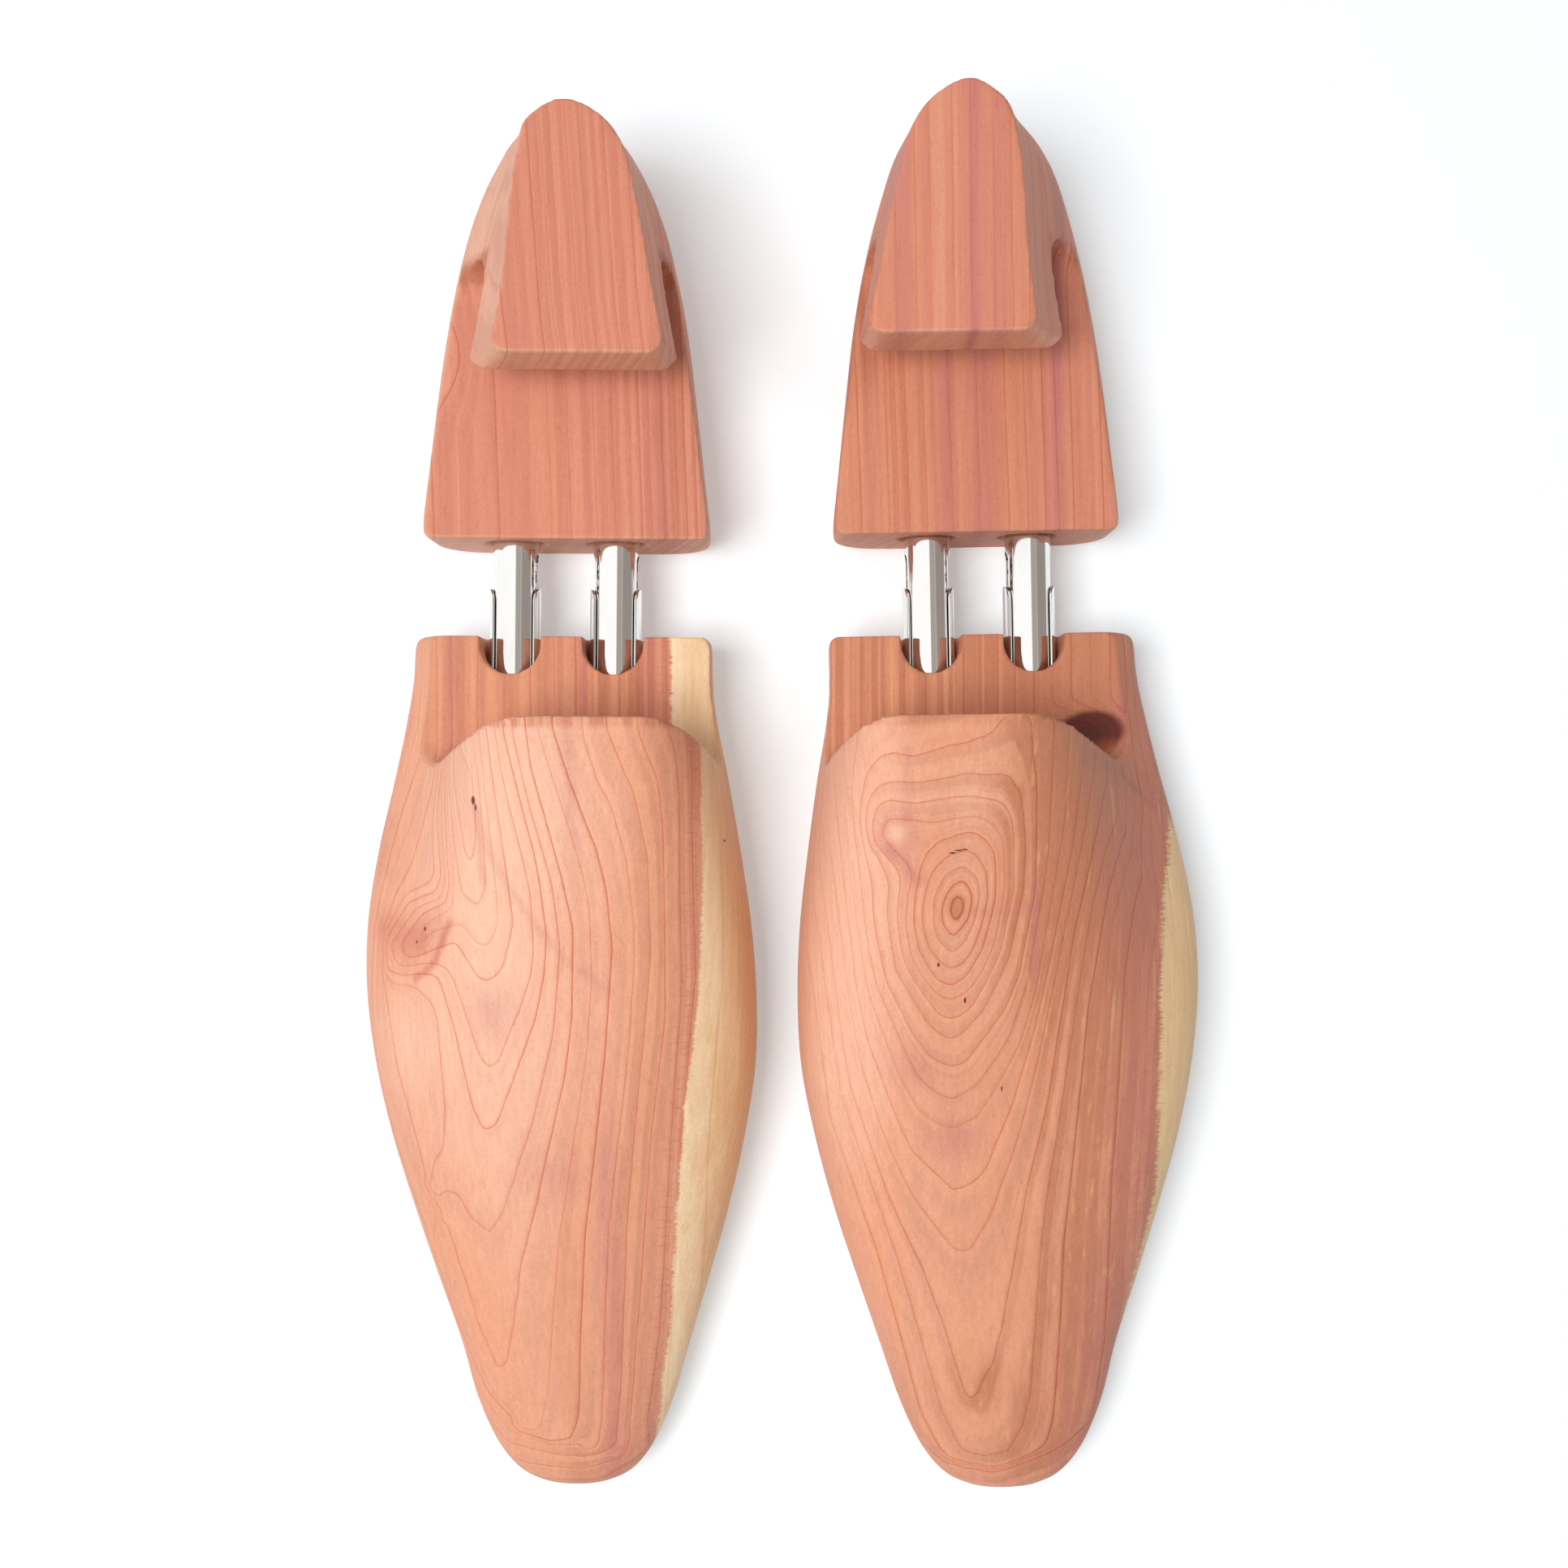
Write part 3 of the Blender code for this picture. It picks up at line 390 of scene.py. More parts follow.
# The left block is cut close to the tree's heart, and narrow rings nest round one eye on the instep. Each line
# lies inside the next, seen from above, as x and y by turns in tenths of a millimetre. The tongue's lines run
# straight, and their table holds x in millimetres.
LEFT_TONGUE_LINES = (
    -20, 9, 13.1, 16.8, 20.2, 23.8, 26.6, 30.4, 34, 38.5, 42, 45.3, 49, 53, 57, 61, 65, 69, 73, 77, 90,
)
LEFT_SAP_EDGE = ((-145, -104, -76, -54, -32), (70, 79.5, 87.5, 89.5, 90.2))
LEFT_LINES = (
    (350, -137, 369, -163, 361, -192, 342, -205, 327, -180, 333, -154),
    (358, -111, 379, -143, 371, -194, 341, -235, 316, -203, 317, -166, 333, -130),
    (357, -86, 390, -112, 393, -153, 381, -207, 367, -240, 337, -266, 307, -235, 299, -193, 301, -148, 321,
     -104),
    (365, -53, 389, -67, 406, -100, 409, -148, 400, -204, 382, -258, 364, -286, 337, -297, 313, -282, 291,
     -253, 278, -212, 276, -175, 289, -112, 306, -85, 328, -65),
    (365, -17, 386, -21, 407, -37, 424, -64, 425, -158, 399, -258, 365, -317, 336, -332, 310, -322, 292, -299,
     269, -253, 260, -203, 260, -148, 267, -101, 284, -62, 306, -39, 324, -32),
    (376, 13, 398, 8, 421, -10, 436, -37, 443, -126, 427, -240, 400, -304, 375, -339, 349, -356, 330, -359,
     310, -349, 286, -321, 256, -271, 244, -203, 250, -141, 261, -109, 246, -86, 202, -49, 187, -27, 192, -6,
     201, 9, 223, 15, 298, -1, 349, 8),
    (375, 53, 424, 43, 442, 30, 456, 3, 460, -136, 435, -263, 384, -372, 356, -396, 332, -399, 311, -389, 252,
     -302, 234, -248, 227, -182, 232, -133, 229, -97, 183, -43, 176, -9, 182, 22, 191, 37, 208, 45, 257, 37,
     345, 50),
    (312, 83, 364, 95, 443, 92, 470, 55, 482, -47, 479, -136, 453, -272, 402, -382, 357, -434, 334, -439, 311,
     -427, 285, -396, 226, -299, 209, -181, 212, -125, 194, -77, 172, -45, 164, -4, 165, 31, 174, 57, 191, 72,
     212, 79, 278, 78),
    (186, 123, 207, 135, 255, 127, 340, 145, 406, 171, 426, 199, 468, 210, 485, 197, 502, 50, 505, -143, 477,
     -307, 447, -378, 372, -488, 353, -496, 332, -496, 309, -486, 291, -473, 263, -433, 207, -326, 181, -204,
     177, -136, 153, -1, 163, 92),
    (155, 341, 137, 52, 170, -249, 186, -327, 272, -522, 314, -559, 346, -566, 394, -537, 439, -470, 461, -428,
     492, -315, 528, -62, 535, 335),
    (134, 341, 122, 116, 125, 19, 133, -111, 172, -351, 231, -508, 272, -589, 312, -621, 351, -627, 392, -602,
     418, -564, 477, -455, 509, -349, 560, 2, 570, 336),
    (113, 341, 104, 101, 110, 19, 146, -329, 169, -446, 260, -679, 344, -765, 390, -745, 417, -712, 469, -568,
     515, -390, 582, -31, 601, 130, 608, 339),
    (94, 341, 88, 85, 94, -31, 135, -360, 163, -507, 204, -638, 261, -767, 329, -869, 349, -893, 369, -898,
     387, -889, 423, -819, 479, -640, 514, -486, 630, 130, 639, 341),
    (70, 342, 60, 52, 121, -463, 137, -547, 212, -770, 281, -924, 365, -1185, 389, -1222, 403, -1213, 437,
     -1140, 456, -1060, 498, -771, 539, -571, 584, -226, 648, 49, 673, 98, 690, 345),
    (46, 342, 36, 52, 119, -558, 230, -894, 328, -1252, 359, -1318, 380, -1341, 423, -1355, 475, -1341, 505,
     -1283, 517, -1208, 529, -908, 545, -739, 606, -276, 624, -162, 651, -65, 720, 81, 735, 350),
    (13, 342, 9, 52, 100, -623, 194, -888, 286, -1259, 339, -1361, 368, -1390, 441, -1415, 492, -1408, 515,
     -1392, 551, -1329, 568, -1266, 581, -877, 618, -376, 658, -147, 690, -51, 733, 14, 768, 349),
    (-19, 342, -20, 53, 69, -675, 103, -813, 239, -1263, 290, -1367, 359, -1433, 471, -1451, 557, -1417, 601,
     -1352, 626, -1165, 632, -742, 660, -229, 694, -116, 733, -36, 787, 47, 815, 354),
    (-51, 342, -49, 53, -21, -140, 9, -462, 40, -655, 198, -1186, 262, -1299, 342, -1364, 447, -1380, 551,
     -1341, 655, -1287, 677, -1113, 677, -745, 695, -314, 718, -183, 758, -70, 806, 13, 851, 354),
)


def ring_map(lines, tongue_lines, side):
    """A forepart's growth rings as a function of points, counted in lines and shares of the way to the next."""
    step, half_width, toe, lip, tongue_end = 0.6, 52, -152, 20, 30
    end_ring, flank_depth, flank_rings = 6, 16, 0.16
    middle = trees[side]["place"].translation.x * 1000
    x, y = np.meshgrid(middle + np.arange(-half_width, half_width, step), np.arange(toe, tongue_end, step))
    reaches = []
    for line in lines:
        corners = [(a / 10, b / 10) for a, b in zip(line[::2], line[1::2])]
        nearest, inside = np.full(x.shape, np.inf), np.zeros(x.shape, bool)
        for (ax, ay), (bx, by) in zip(corners, corners[1:] + corners[:1]):
            wide, tall = bx - ax, by - ay
            share = np.clip(((x - ax) * wide + (y - ay) * tall) / math.dist((ax, ay), (bx, by)) ** 2, 0, 1)
            nearest = np.minimum(nearest, np.hypot(x - ax - share * wide, y - ay - share * tall))
            if tall:
                inside ^= ((ay > y) != (by > y)) & (x < ax + (y - ay) * wide / tall)
        reaches.append(np.where(inside, -nearest, nearest))
    growth = reaches[0] / end_ring
    for count, (inner, outer) in enumerate(zip(reaches, reaches[1:])):
        growth = np.where(inner > 0, count + inner / np.maximum(inner - outer, 1e-6), growth)
    growth = np.where(reaches[-1] > 0, len(lines) - 1 + reaches[-1] / end_ring, growth)
    for axis in (0, 1, 0, 1):
        growth = (np.roll(growth, 1, axis) + 2 * growth + np.roll(growth, -1, axis)) / 4

    def rings_at(points):
        across = np.clip((points[:, 0] - x[0, 0]) / step, 1, x.shape[1] - 3)
        along = np.clip((np.minimum(points[:, 1], lip) - y[0, 0]) / step, 1, x.shape[0] - 3)
        column, row = across.astype(int), along.astype(int)
        a, b = across - column, along - row
        rings = ((growth[row, column] * (1 - a) + growth[row, column + 1] * a) * (1 - b)
                 + (growth[row + 1, column] * (1 - a) + growth[row + 1, column + 1] * a) * b)
        rings += flank_rings * np.maximum(0, crest_height(points, side) - points[:, 2] - flank_depth)
        tongue = eased(points[:, 0], tongue_lines, range(len(tongue_lines)), 0.8)
        knot = 3.5 * spot(points, 64.8, 17.3, 15, 9) if side == "left" else 0
        share = cut_share(points, side)
        return rings * (1 - share) + (tongue - knot) * share

    return rings_at


def left_forepart_marks(points):
    """Colours of the left forepart: sapwood down its lateral side, brown inside that, a dark knot, and painted
    shade along the lip and under it.
    """
    x, y, z = points.T
    sap = x + 0.4 * z - np.interp(y, *LEFT_SAP_EDGE)
    tongue = cut_share(points, "left")
    skin = 1 - tongue
    return {
        "sap": sap,
        "pale": (0.75 * fade(x, 34, 10) * fade(y, -100, -50) + 0.45 * spot(points, 36, 6, 18, 12)) * skin
                + 0.85 * spot(points, 68.0, 14.2, 6.5, 3.4) * tongue + 0.6 * spot(points, 22.7, -2.3, 2.6, 2.8),
        # Brown here also paints shade: on the tongue and in the cove under the lip it deepens the cut wood's
        # own browner tone, and the band along the lip's top edge is painted shade.
        "brown": 0.26 + 0.75 * tongue - 0.26 * fade(x, 30, 14) + 0.35 * fade(x, 40, 60)
                 + 0.45 * fade(sap, -26, -10) + 0.15 * fade(y, -105, -125)
                 + 0.45 * fade(y, 18.2, 19.2) * skin * fade(z, 52, 54)
                 + 1.05 * fade(x, 38, 54) * fade(y, -55, -5) + 0.35 * fade(x, 62, 72) * fade(y, -12, 4)
                 + 0.9 * spot(points, 34.9, -17, 4, 5) + 0.3 * spot(points, 52, 6, 16, 12)
                 + 0.5 * spot(points, 43, -119, 13, 15),
        "purple": 0.6 * (spot(points, 22.7, -2.3, 6.4, 7.0) - spot(points, 22.7, -2.3, 3.6, 3.8))
                  + 0.45 * thread(points, 2.4, (21.5, -5.5), (24.0, -8), (26.8, -11.5))
                  + 0.25 * thread(points, 1.8, (38.5, -18.2), (51.1, -17.1))
                  + 0.30 * thread(points, 2.2, (49.8, -4), (50.6, -33))
                  + 0.30 * thread(points, 1.8, (24.5, 14), (24.8, 1))
                  + 0.50 * thread(points, 3.0, (69, 20), (73.2, 25.8)) * tongue
                  + 0.30 * spot(points, 27, -49.5, 10, 8) + 0.30 * spot(points, 35.5, -64.8, 10, 7)
                  + 0.30 * fade(sap, -14, -5),
        "halo": (0.3 * thread(points, 5, (62.3, 13.2), (71, 9.1), (79.1, 5.0))
                 + 0.5 * thread(points, 1.0, (70, 9.6), (74.5, 5.0), (78.2, 2.2))) * skin,
        "knot": spot(points, 64.5, 17.8, 10.0, 6.4, 8) * tongue,
        "bold": 0.8 + 0.5 * spot(points, 34.9, -17, 13, 15) - 0.2 * tongue - 0.35 * fade(x, 20, 12),
    }


# The right block is cut further out: wide rings run open up to the lip, and sapwood takes its medial side. The
# tables are laid out as on the left.
RIGHT_TONGUE_LINES = (
    -95, -79, -75, -71.5, -68.7, -63, -57.5, -52, -47, -42.5, -39, -35.5, -32.5, -29.5, -27, -23, -18, -14, 10,
)
RIGHT_SAP_EDGE = ((-122, -100, -71, -58, -44, -30, -18, 2, 36),
                  (-32.6, -31.9, -32.6, -32.4, -31.3, -30.7, -30.8, -31.8, -32.1))
RIGHT_LINES = (
    (-665, 345, -663, 105, -636, -61, -618, -94, -603, -57, -596, -8, -602, 88, -654, 190, -660, 360),
    (-668, 345, -677, 105, -644, -143, -611, -169, -593, -159, -582, -122, -609, 343),
    (-673, 345, -671, 23, -660, -124, -666, -165, -714, -188, -764, -244, -749, -263, -705, -229, -649, -208,
     -637, -213, -608, -248, -590, -253, -576, -243, -565, -219, -559, -193, -590, 183, -596, 341),
    (-678, 345, -681, 23, -669, -124, -678, -160, -734, -184, -789, -254, -763, -282, -657, -240, -611, -313,
     -592, -321, -573, -312, -554, -284, -533, -198, -570, 182, -576, 340),
    (-684, 345, -690, 23, -679, -116, -689, -149, -750, -174, -813, -255, -793, -299, -712, -287, -682, -296,
     -667, -315, -621, -465, -609, -489, -590, -502, -569, -483, -525, -385, -497, -307, -491, -260, -494,
     -134, -543, 98, -552, 182, -556, 339),
    (-691, 345, -701, 23, -688, -108, -702, -138, -765, -161, -834, -249, -821, -306, -777, -316, -717, -306,
     -696, -316, -665, -420, -637, -575, -617, -627, -602, -635, -579, -616, -494, -393, -474, -302, -466,
     -219, -483, -56, -535, 181, -539, 338),
    (-697, 346, -712, 22, -700, -100, -719, -126, -779, -149, -849, -250, -847, -317, -801, -333, -758, -333,
     -712, -367, -702, -398, -690, -587, -700, -670, -725, -702, -743, -758, -734, -775, -720, -782, -704,
     -766, -680, -762, -647, -818, -607, -855, -570, -800, -508, -620, -459, -427, -440, -252, -453, -116,
     -490, 27, -516, 172, -522, 337),
    (-742, 346, -829, -216, -826, -345, -804, -490, -743, -731, -775, -830, -708, -835, -699, -843, -643,
     -1053, -602, -1149, -583, -1134, -560, -1042, -540, -921, -438, -511, -420, -393, -413, -206, -484, 111,
     -497, 337),
    (-774, 346, -848, -216, -845, -377, -824, -538, -787, -667, -748, -763, -713, -809, -744, -879, -728, -888,
     -663, -1175, -628, -1273, -584, -1315, -563, -1319, -513, -1277, -495, -1201, -462, -862, -393, -474,
     -377, -310, -378, -170, -387, -107, -465, 181, -471, 337),
    (-806, 346, -856, 25, -874, -216, -867, -457, -812, -683, -685, -1069, -622, -1206, -574, -1255, -563,
     -1374, -547, -1381, -493, -1375, -471, -1359, -457, -1335, -433, -1262, -407, -843, -355, -469, -335,
     -253, -343, -138, -363, -49, -411, 80, -440, 188, -445, 336),
    (-838, 346, -898, -216, -844, -682, -686, -1166, -590, -1282, -494, -1314, -429, -1315, -432, -1401, -391,
     -1316, -382, -1263, -358, -831, -304, -455, -293, -311, -291, -207, -300, -80, -326, 31, -356, 88, -379,
     161, -389, 336),
    (-871, 346, -922, -216, -868, -682, -702, -1198, -590, -1319, -462, -1344, -381, -1336, -349, -1309, -360,
     -1361, -340, -1188, -320, -815, -260, -262, -263, -58, -286, 61, -334, 183, -339, 336),
    (-903, 347, -946, -216, -892, -682, -718, -1230, -590, -1359, -430, -1376, -341, -1352, -330, -1321, -266,
     -631, -234, -396, -232, -5, -240, 83, -275, 179, -280, 335),
    (-935, 347, -970, -216, -916, -682, -734, -1262, -590, -1399, -398, -1408, -285, -1344, -287, -1274, -256,
     -1070, -202, -352, -198, 52, -204, 139, -224, 210, -227, 357),
    (-967, 347, -1002, -215, -940, -682, -751, -1294, -591, -1439, -366, -1441, -249, -1361, -252, -1270, -211,
     -645, -176, -311, -181, 341),
)


def right_forepart_marks(points):
    """Colours of the right forepart: sapwood down its medial side, brown inside that, a red knot, and painted
    shade along the lip and under it.
    """
    x, y, z = points.T
    sap = x - 0.37 * z - np.interp(y, *RIGHT_SAP_EDGE)
    tongue = cut_share(points, "right")
    skin = 1 - tongue
    return {
        "sap": sap,
        "pale": (0.95 * spot(points, -58, -28, 32, 90) + 0.7 * spot(points, -46, 8, 24, 38)) * skin
                + 0.5 * spot(points, -78, -46, 12, 20),
        # Brown here also paints shade: on the tongue and in the cove under the lip it deepens the cut wood's
        # own browner tone, and the band along the lip's top edge is painted shade.
        "brown": 0.08 + 0.45 * tongue + 0.26 * fade(sap, -20, -9) + 0.08 * fade(sap, -38, -20)
                 + 0.50 * fade(y, 18.2, 19.2) * skin * fade(z, 52, 54)
                 + 0.25 * bell(x, -43.5, 3) * fade(y, -60, -100),
        "purple": 0.22 * thread(points, 1.7, (-60.7, 4.0), (-58.2, -4.1), (-54.3, -12.1), (-49.6, -19.1),
                                (-45.9, -24.0), (-42.0, -28.2), (-34.2, -33.9))
                  + 0.28 * thread(points, 1.2, (-60.2, 3), (-59.2, -12)) * skin
                  + (0.6 * bell(x, -68.7, 0.9) + 0.35 * bell(x, -27.5, 2.6)) * tongue
                  + 0.28 * spot(points, -58, -38, 9, 12) + 0.25 * spot(points, -47, -72, 12, 10)
                  + 0.45 * bell(x, -36, 2.5) * fade(y, -40, -80) + 0.3 * bell(x, -41, 1.5) * fade(y, -30, 10),
        "halo": 0.8 * thread(points, 1.5, (-66.8, -20), (-70.6, -28.5), (-75, -32))
                + 0.4 * thread(points, 4, (-84, -10), (-83, 0)) + 0.8 * spot(points, -81, -22, 8, 7)
                + 0.95 * spot(points, -74, -23.8, 11, 6.5, 42),
        "knot": np.zeros(len(x)),
        "bold": 0.80 + 0.25 * fade(x, -60, -40) - 0.35 * tongue,
    }


class Socket:
    """A socket in a material's nodes. Sums on it are written as plain expressions and add Math nodes."""

    def __init__(self, nodes, socket=None):
        self.nodes = nodes
        self.socket = socket

    def add(self, kind, settings=None, sockets=None, output=0):
        """Any node: its type, its settings, which are set first, and the values or links of its sockets."""
        node = self.nodes.nodes.new(kind)
        for name, value in (settings or {}).items():
            setattr(node, name, value)
        for name, value in (sockets or {}).items():
            if isinstance(value, Socket):
                self.nodes.links.new(value.socket, node.inputs[name])
            else:
                node.inputs[name].default_value = value
        return Socket(self.nodes, node.outputs[output] if node.outputs else None)

    def maths(self, operation, first, second=0.0, clamp=False):
        """One Math node."""
        return self.add("ShaderNodeMath", {"operation": operation, "use_clamp": clamp}, {0: first, 1: second})

    def __add__(self, other):
        return self.maths("ADD", self, other)

    def __sub__(self, other):
        return self.maths("SUBTRACT", self, other)

    def __rsub__(self, other):
        return self.maths("SUBTRACT", other, self)

    def __mul__(self, other):
        return self.maths("MULTIPLY", self, other)

    def __truediv__(self, other):
        return self.maths("DIVIDE", self, other)

    def __pow__(self, other):
        return self.maths("POWER", self, other)

    __radd__, __rmul__ = __add__, __mul__

    def clamped(self):
        """The value held between 0 and 1."""
        return self.maths("ADD", self, 0.0, clamp=True)

    def step(self, start, end):
        """0 up to the start, 1 from the end, and a soft step between. The start may be the higher."""
        return self.add("ShaderNodeMapRange", {"interpolation_type": "SMOOTHSTEP"},
                        {"Value": self, "From Min": start, "From Max": end})

    def vector(self, operation, second=(0, 0, 0), output=0):
        """What a vector operation makes of this vector and another."""
        return self.add("ShaderNodeVectorMath", {"operation": operation}, {0: self, 1: second}, output)

    def noise(self, scale, detail=2.0, along=1, across=1):
        """Cloudy noise about 0, in features of 1 / scale metres, longer along or across the grain."""
        return self.add("ShaderNodeTexNoise", {"noise_dimensions": "3D"}, {
            "Vector": self.vector("DIVIDE", (across, along, across)), "Scale": scale, "Detail": detail,
            "Roughness": 0.55}) - 0.5

    def chance(self, seed):
        """A number from 0 to 1 that is fixed for each whole number."""
        return self.add("ShaderNodeTexWhiteNoise", {"noise_dimensions": "1D"}, {"W": self + seed}, "Value")

    def blend(self, first, second, how="MIX"):
        """Two colours mixed, this value being the share of the second."""
        return self.add("ShaderNodeMix", {"data_type": "RGBA", "blend_type": how},
                        {0: self, 6: first, 7: second}, 2)

    def surface(self, height, strength, distance, sockets):
        """The last nodes of a material: its fine relief, its shader and the output."""
        bump = self.add("ShaderNodeBump", sockets={
            "Height": height, "Strength": strength, "Distance": distance})
        shader = self.add("ShaderNodeBsdfPrincipled", sockets={**sockets, "Normal": bump})
        self.add("ShaderNodeOutputMaterial", sockets={"Surface": shader})


def new_material(name):
    """An empty material, the place to add its nodes, and the point of the object that is shaded."""
    material = bpy.data.materials.new(name)
    material.use_nodes = True
    material.node_tree.nodes.clear()
    nodes = Socket(material.node_tree)
    return material, nodes, nodes.add("ShaderNodeTexCoord", output="Object")


def cedar(name, tones, seed, pins=()):
    """Sanded red cedar: its rings, streaks, fibres, sapwood and knots. Pins are dark flecks, in millimetres."""
    material, nodes, place = new_material(name)
    growth, pitch, sap, pale, brown, purple, halo, knot, bold = (
        nodes.add("ShaderNodeAttribute", {"attribute_name": label}, output="Fac")
        for label in ("growth", "pitch", "sap", "pale", "brown", "purple", "halo", "knot", "bold"))

    growth = growth + place.noise(55, 2, 5) * 0.30 + place.noise(420, 3, 6) * 0.08
    ring = nodes.maths("FLOOR", growth)
    inside = (growth - ring) * pitch
    outside = (1 - (growth - ring)) * pitch
    strength = (ring.chance(seed) * 0.6 + 0.5) * (place.noise(45, 2, 3) * 1.6 + 1).clamped() * bold
    strength = strength * pitch.step(0.15, 0.9)
    soft_side = outside.step(1.6, 0.0) ** 2.2
    sharp_side = outside.step(0.42, 0.10) * inside.step(0.0, 0.10)
    line = (soft_side * 0.36 + sharp_side * 0.60) * strength
    third = growth * 3 + place.noise(110, 2, 4) * 0.8
    between = nodes.maths("FLOOR", third)
    gap = (between + 1 - third) * pitch
    line = line + (gap.step(1.5, 0.0) ** 2 * between.chance(seed + 3) * pitch.step(1.2, 3.5) * bold) * 0.16

    streak = place.noise(330, 3, 26)
    band = nodes.add("ShaderNodeTexNoise", {"noise_dimensions": "1D"},
                     {"W": growth + seed, "Scale": 1.6, "Detail": 2.0})
    band = (band + place.noise(210, 3, 30) * 0.35).step(0.36, 0.66)
    broad = place.noise(60, 2, 9)
    hue = broad * 0.9 + band * 0.4 + 0.25
    colour = hue.clamped().blend(tones["orange"], tones["pink"])
    # Pale and brown are the wood's own tones, and also carry the painted sheen and painted shade that some
    # marks hold.
    for tone, share in (
        ("pale", pale + broad * 0.5 + streak * 0.4 - band * 0.12),
        ("brown", brown * (band * 0.85 + 0.5 + streak * 0.8 + broad * 0.4)),
        ("purple", purple * (streak * 2.0 + 1)),
        ("halo", halo * (place.noise(420, 3, 2) * 1.6 + 1)),
        ("gold", place.noise(560, 2, 60).step(0.10, 0.24) * brown.step(0.35, 1.0) * 0.32),
    ):
        colour = share.clamped().blend(colour, tones[tone])

    teeth = place.noise(2400, 3, 1, 7)
    depth = sap + teeth * 2.2 + place.noise(300, 2, 3) * 1.6
    tan = (sap / 16 + streak * 1.4 + 0.15).clamped()
    sapwood = tan.blend(tones["sap_pale"], tones["sap_tan"])
    sapwood = (place.noise(500, 2, 8).step(0.12, 0.24) * 0.5).blend(sapwood, tones["gold"])
    torn = depth.step(-7, -1) * teeth.step(0.02, 0.16) * 0.5
    colour = torn.clamped().blend(colour, tones["purple"])
    colour = depth.step(-0.5, 0.5).blend(colour, sapwood)

    ember = pale.clamped().blend(tones["knot"], tones["ember"])
    colour = knot.step(0.05, 0.35).blend(colour, ember)
    colour = (line * (1 - depth.step(-0.5, 0.5) * 0.6)).clamped().blend(colour, tones["line"], "MULTIPLY")

    fibre = place.noise(1150, 3, 14)
    draw = place.noise(1000, 2, 50)
    speckle = place.noise(2300, 3, 1.8)
    pores = place.noise(2600, 2, 9).step(0.13, 0.24)
    cloud = place.noise(28, 2, 3)
    shade = 1 + fibre * 0.26 + draw * 0.22 + speckle * 0.30 - pores * 0.13 + cloud * 0.12
    grain = nodes.add("ShaderNodeCombineColor", sockets={
        "Red": shade * 0.65 + 0.35, "Green": shade, "Blue": shade * 1.25 - 0.25})
    colour = nodes.add("ShaderNodeMix", {"data_type": "RGBA", "blend_type": "MULTIPLY"},
                       {0: 1.0, 6: colour, 7: grain}, 2)
    for x, y, z, half_x, half_y in pins:
        away = place.vector("SUBTRACT", (x / 1000, y / 1000, z / 1000))
        away = away.vector("DIVIDE", (half_x / 1000, half_y / 1000, PIN_DEPTH))
        colour = away.vector("LENGTH", output="Value").step(1.2, 0.5).blend(colour, tones["knot"])

    height = fibre * 0.6 + speckle * 0.5 - line * 0.5 - pores * 0.6
    nodes.surface(height, strength=0.35, distance=WOOD_RELIEF, sockets={
        "Base Color": colour, "Roughness": 0.58 + fibre * 0.25 - line * 0.05, "Specular IOR Level": 0.4})
    return material


WOOD_RELIEF = 0.00012
PIN_DEPTH = 0.004
FOREPART_TONES = {
    "orange": (0.83, 0.37, 0.21, 1), "pink": (0.80, 0.38, 0.27, 1), "pale": (0.93, 0.54, 0.39, 1),
    "brown": (0.58, 0.225, 0.125, 1), "purple": (0.56, 0.19, 0.17, 1), "halo": (0.68, 0.26, 0.17, 1),
    "gold": (0.88, 0.52, 0.20, 1), "sap_pale": (0.94, 0.72, 0.47, 1), "sap_tan": (0.84, 0.50, 0.26, 1),
    "line": (0.78, 0.44, 0.33, 1), "knot": (0.14, 0.03, 0.02, 1), "ember": (0.50, 0.16, 0.08, 1),
}
FOREPART_PINS = {
    "right": ((-60.8, 4.6, 46.1, 0.5, 1.0), (-60.3, 3.2, 46.1, 0.25, 0.8), (-11.6, -4.0, 33.2, 0.2, 0.3),
              (-72.6, -21.6, 34.7, 0.3, 0.5), (-74.6, -24.4, 34.0, 0.25, 0.4)),
    "left": ((31.2, -28.7, 42.6, 0.3, 0.5), (36.6, -36.0, 41.0, 0.3, 0.7), (44.3, -54.3, 37.1, 0.2, 0.6),
             (33.6, -6.2, 48.6, 0.8, 0.20), (34.8, -5.7, 48.7, 0.9, 0.18), (36.0, -5.5, 48.8, 0.7, 0.15)),
}
LEFT_TONES = dict(FOREPART_TONES, halo=(0.40, 0.17, 0.10, 1), sap_pale=(0.86, 0.62, 0.34, 1),
                  sap_tan=(0.80, 0.46, 0.23, 1), ember=(0.52, 0.14, 0.04, 1))
FOREPART_WOOD = {
    "right": (RIGHT_LINES, RIGHT_TONGUE_LINES, right_forepart_marks, FOREPART_TONES, 11),
    "left": (LEFT_LINES, LEFT_TONGUE_LINES, left_forepart_marks, LEFT_TONES, 3),
}
for side, tree in trees.items():
    sizes = FOREPART_SIZES[side]
    lines, tongue_lines, marks, tones, seed = FOREPART_WOOD[side]
    rings = [forepart_ring(through_rows(FOREPART_SHARES, step / STATIONS_PER_ROW), sizes, tree["out"])
             for step in range((len(FOREPART_SHARES) - 1) * STATIONS_PER_ROW + 1)]
    tip_x = TOE_TIP_SHARES[0] * sizes["ball_half_width"] + math.tan(sizes["toe_swing"]) * sizes["length"]
    tip = (tree["out"] * tip_x, -sizes["length"], TOE_TIP_SHARES[1] * INSTEP_HEIGHT)
    skin = skin_mesh(side + "_forepart_skin", rings, tip)
    block = carve(side + "_forepart_wood", skin, forepart_cutters(sizes, tree), tree["place"], FOREPART_VOXEL)
    points, normals = surface_of(block.data)
    paint(block.data, ring_marks(points, normals, ring_map(lines, tongue_lines, side)))
    paint(block.data, marks(points))
    material = cedar(side + "_forepart_cedar", tones, seed, FOREPART_PINS[side])
    dress(block, material, "foreparts", side + "_forepart")

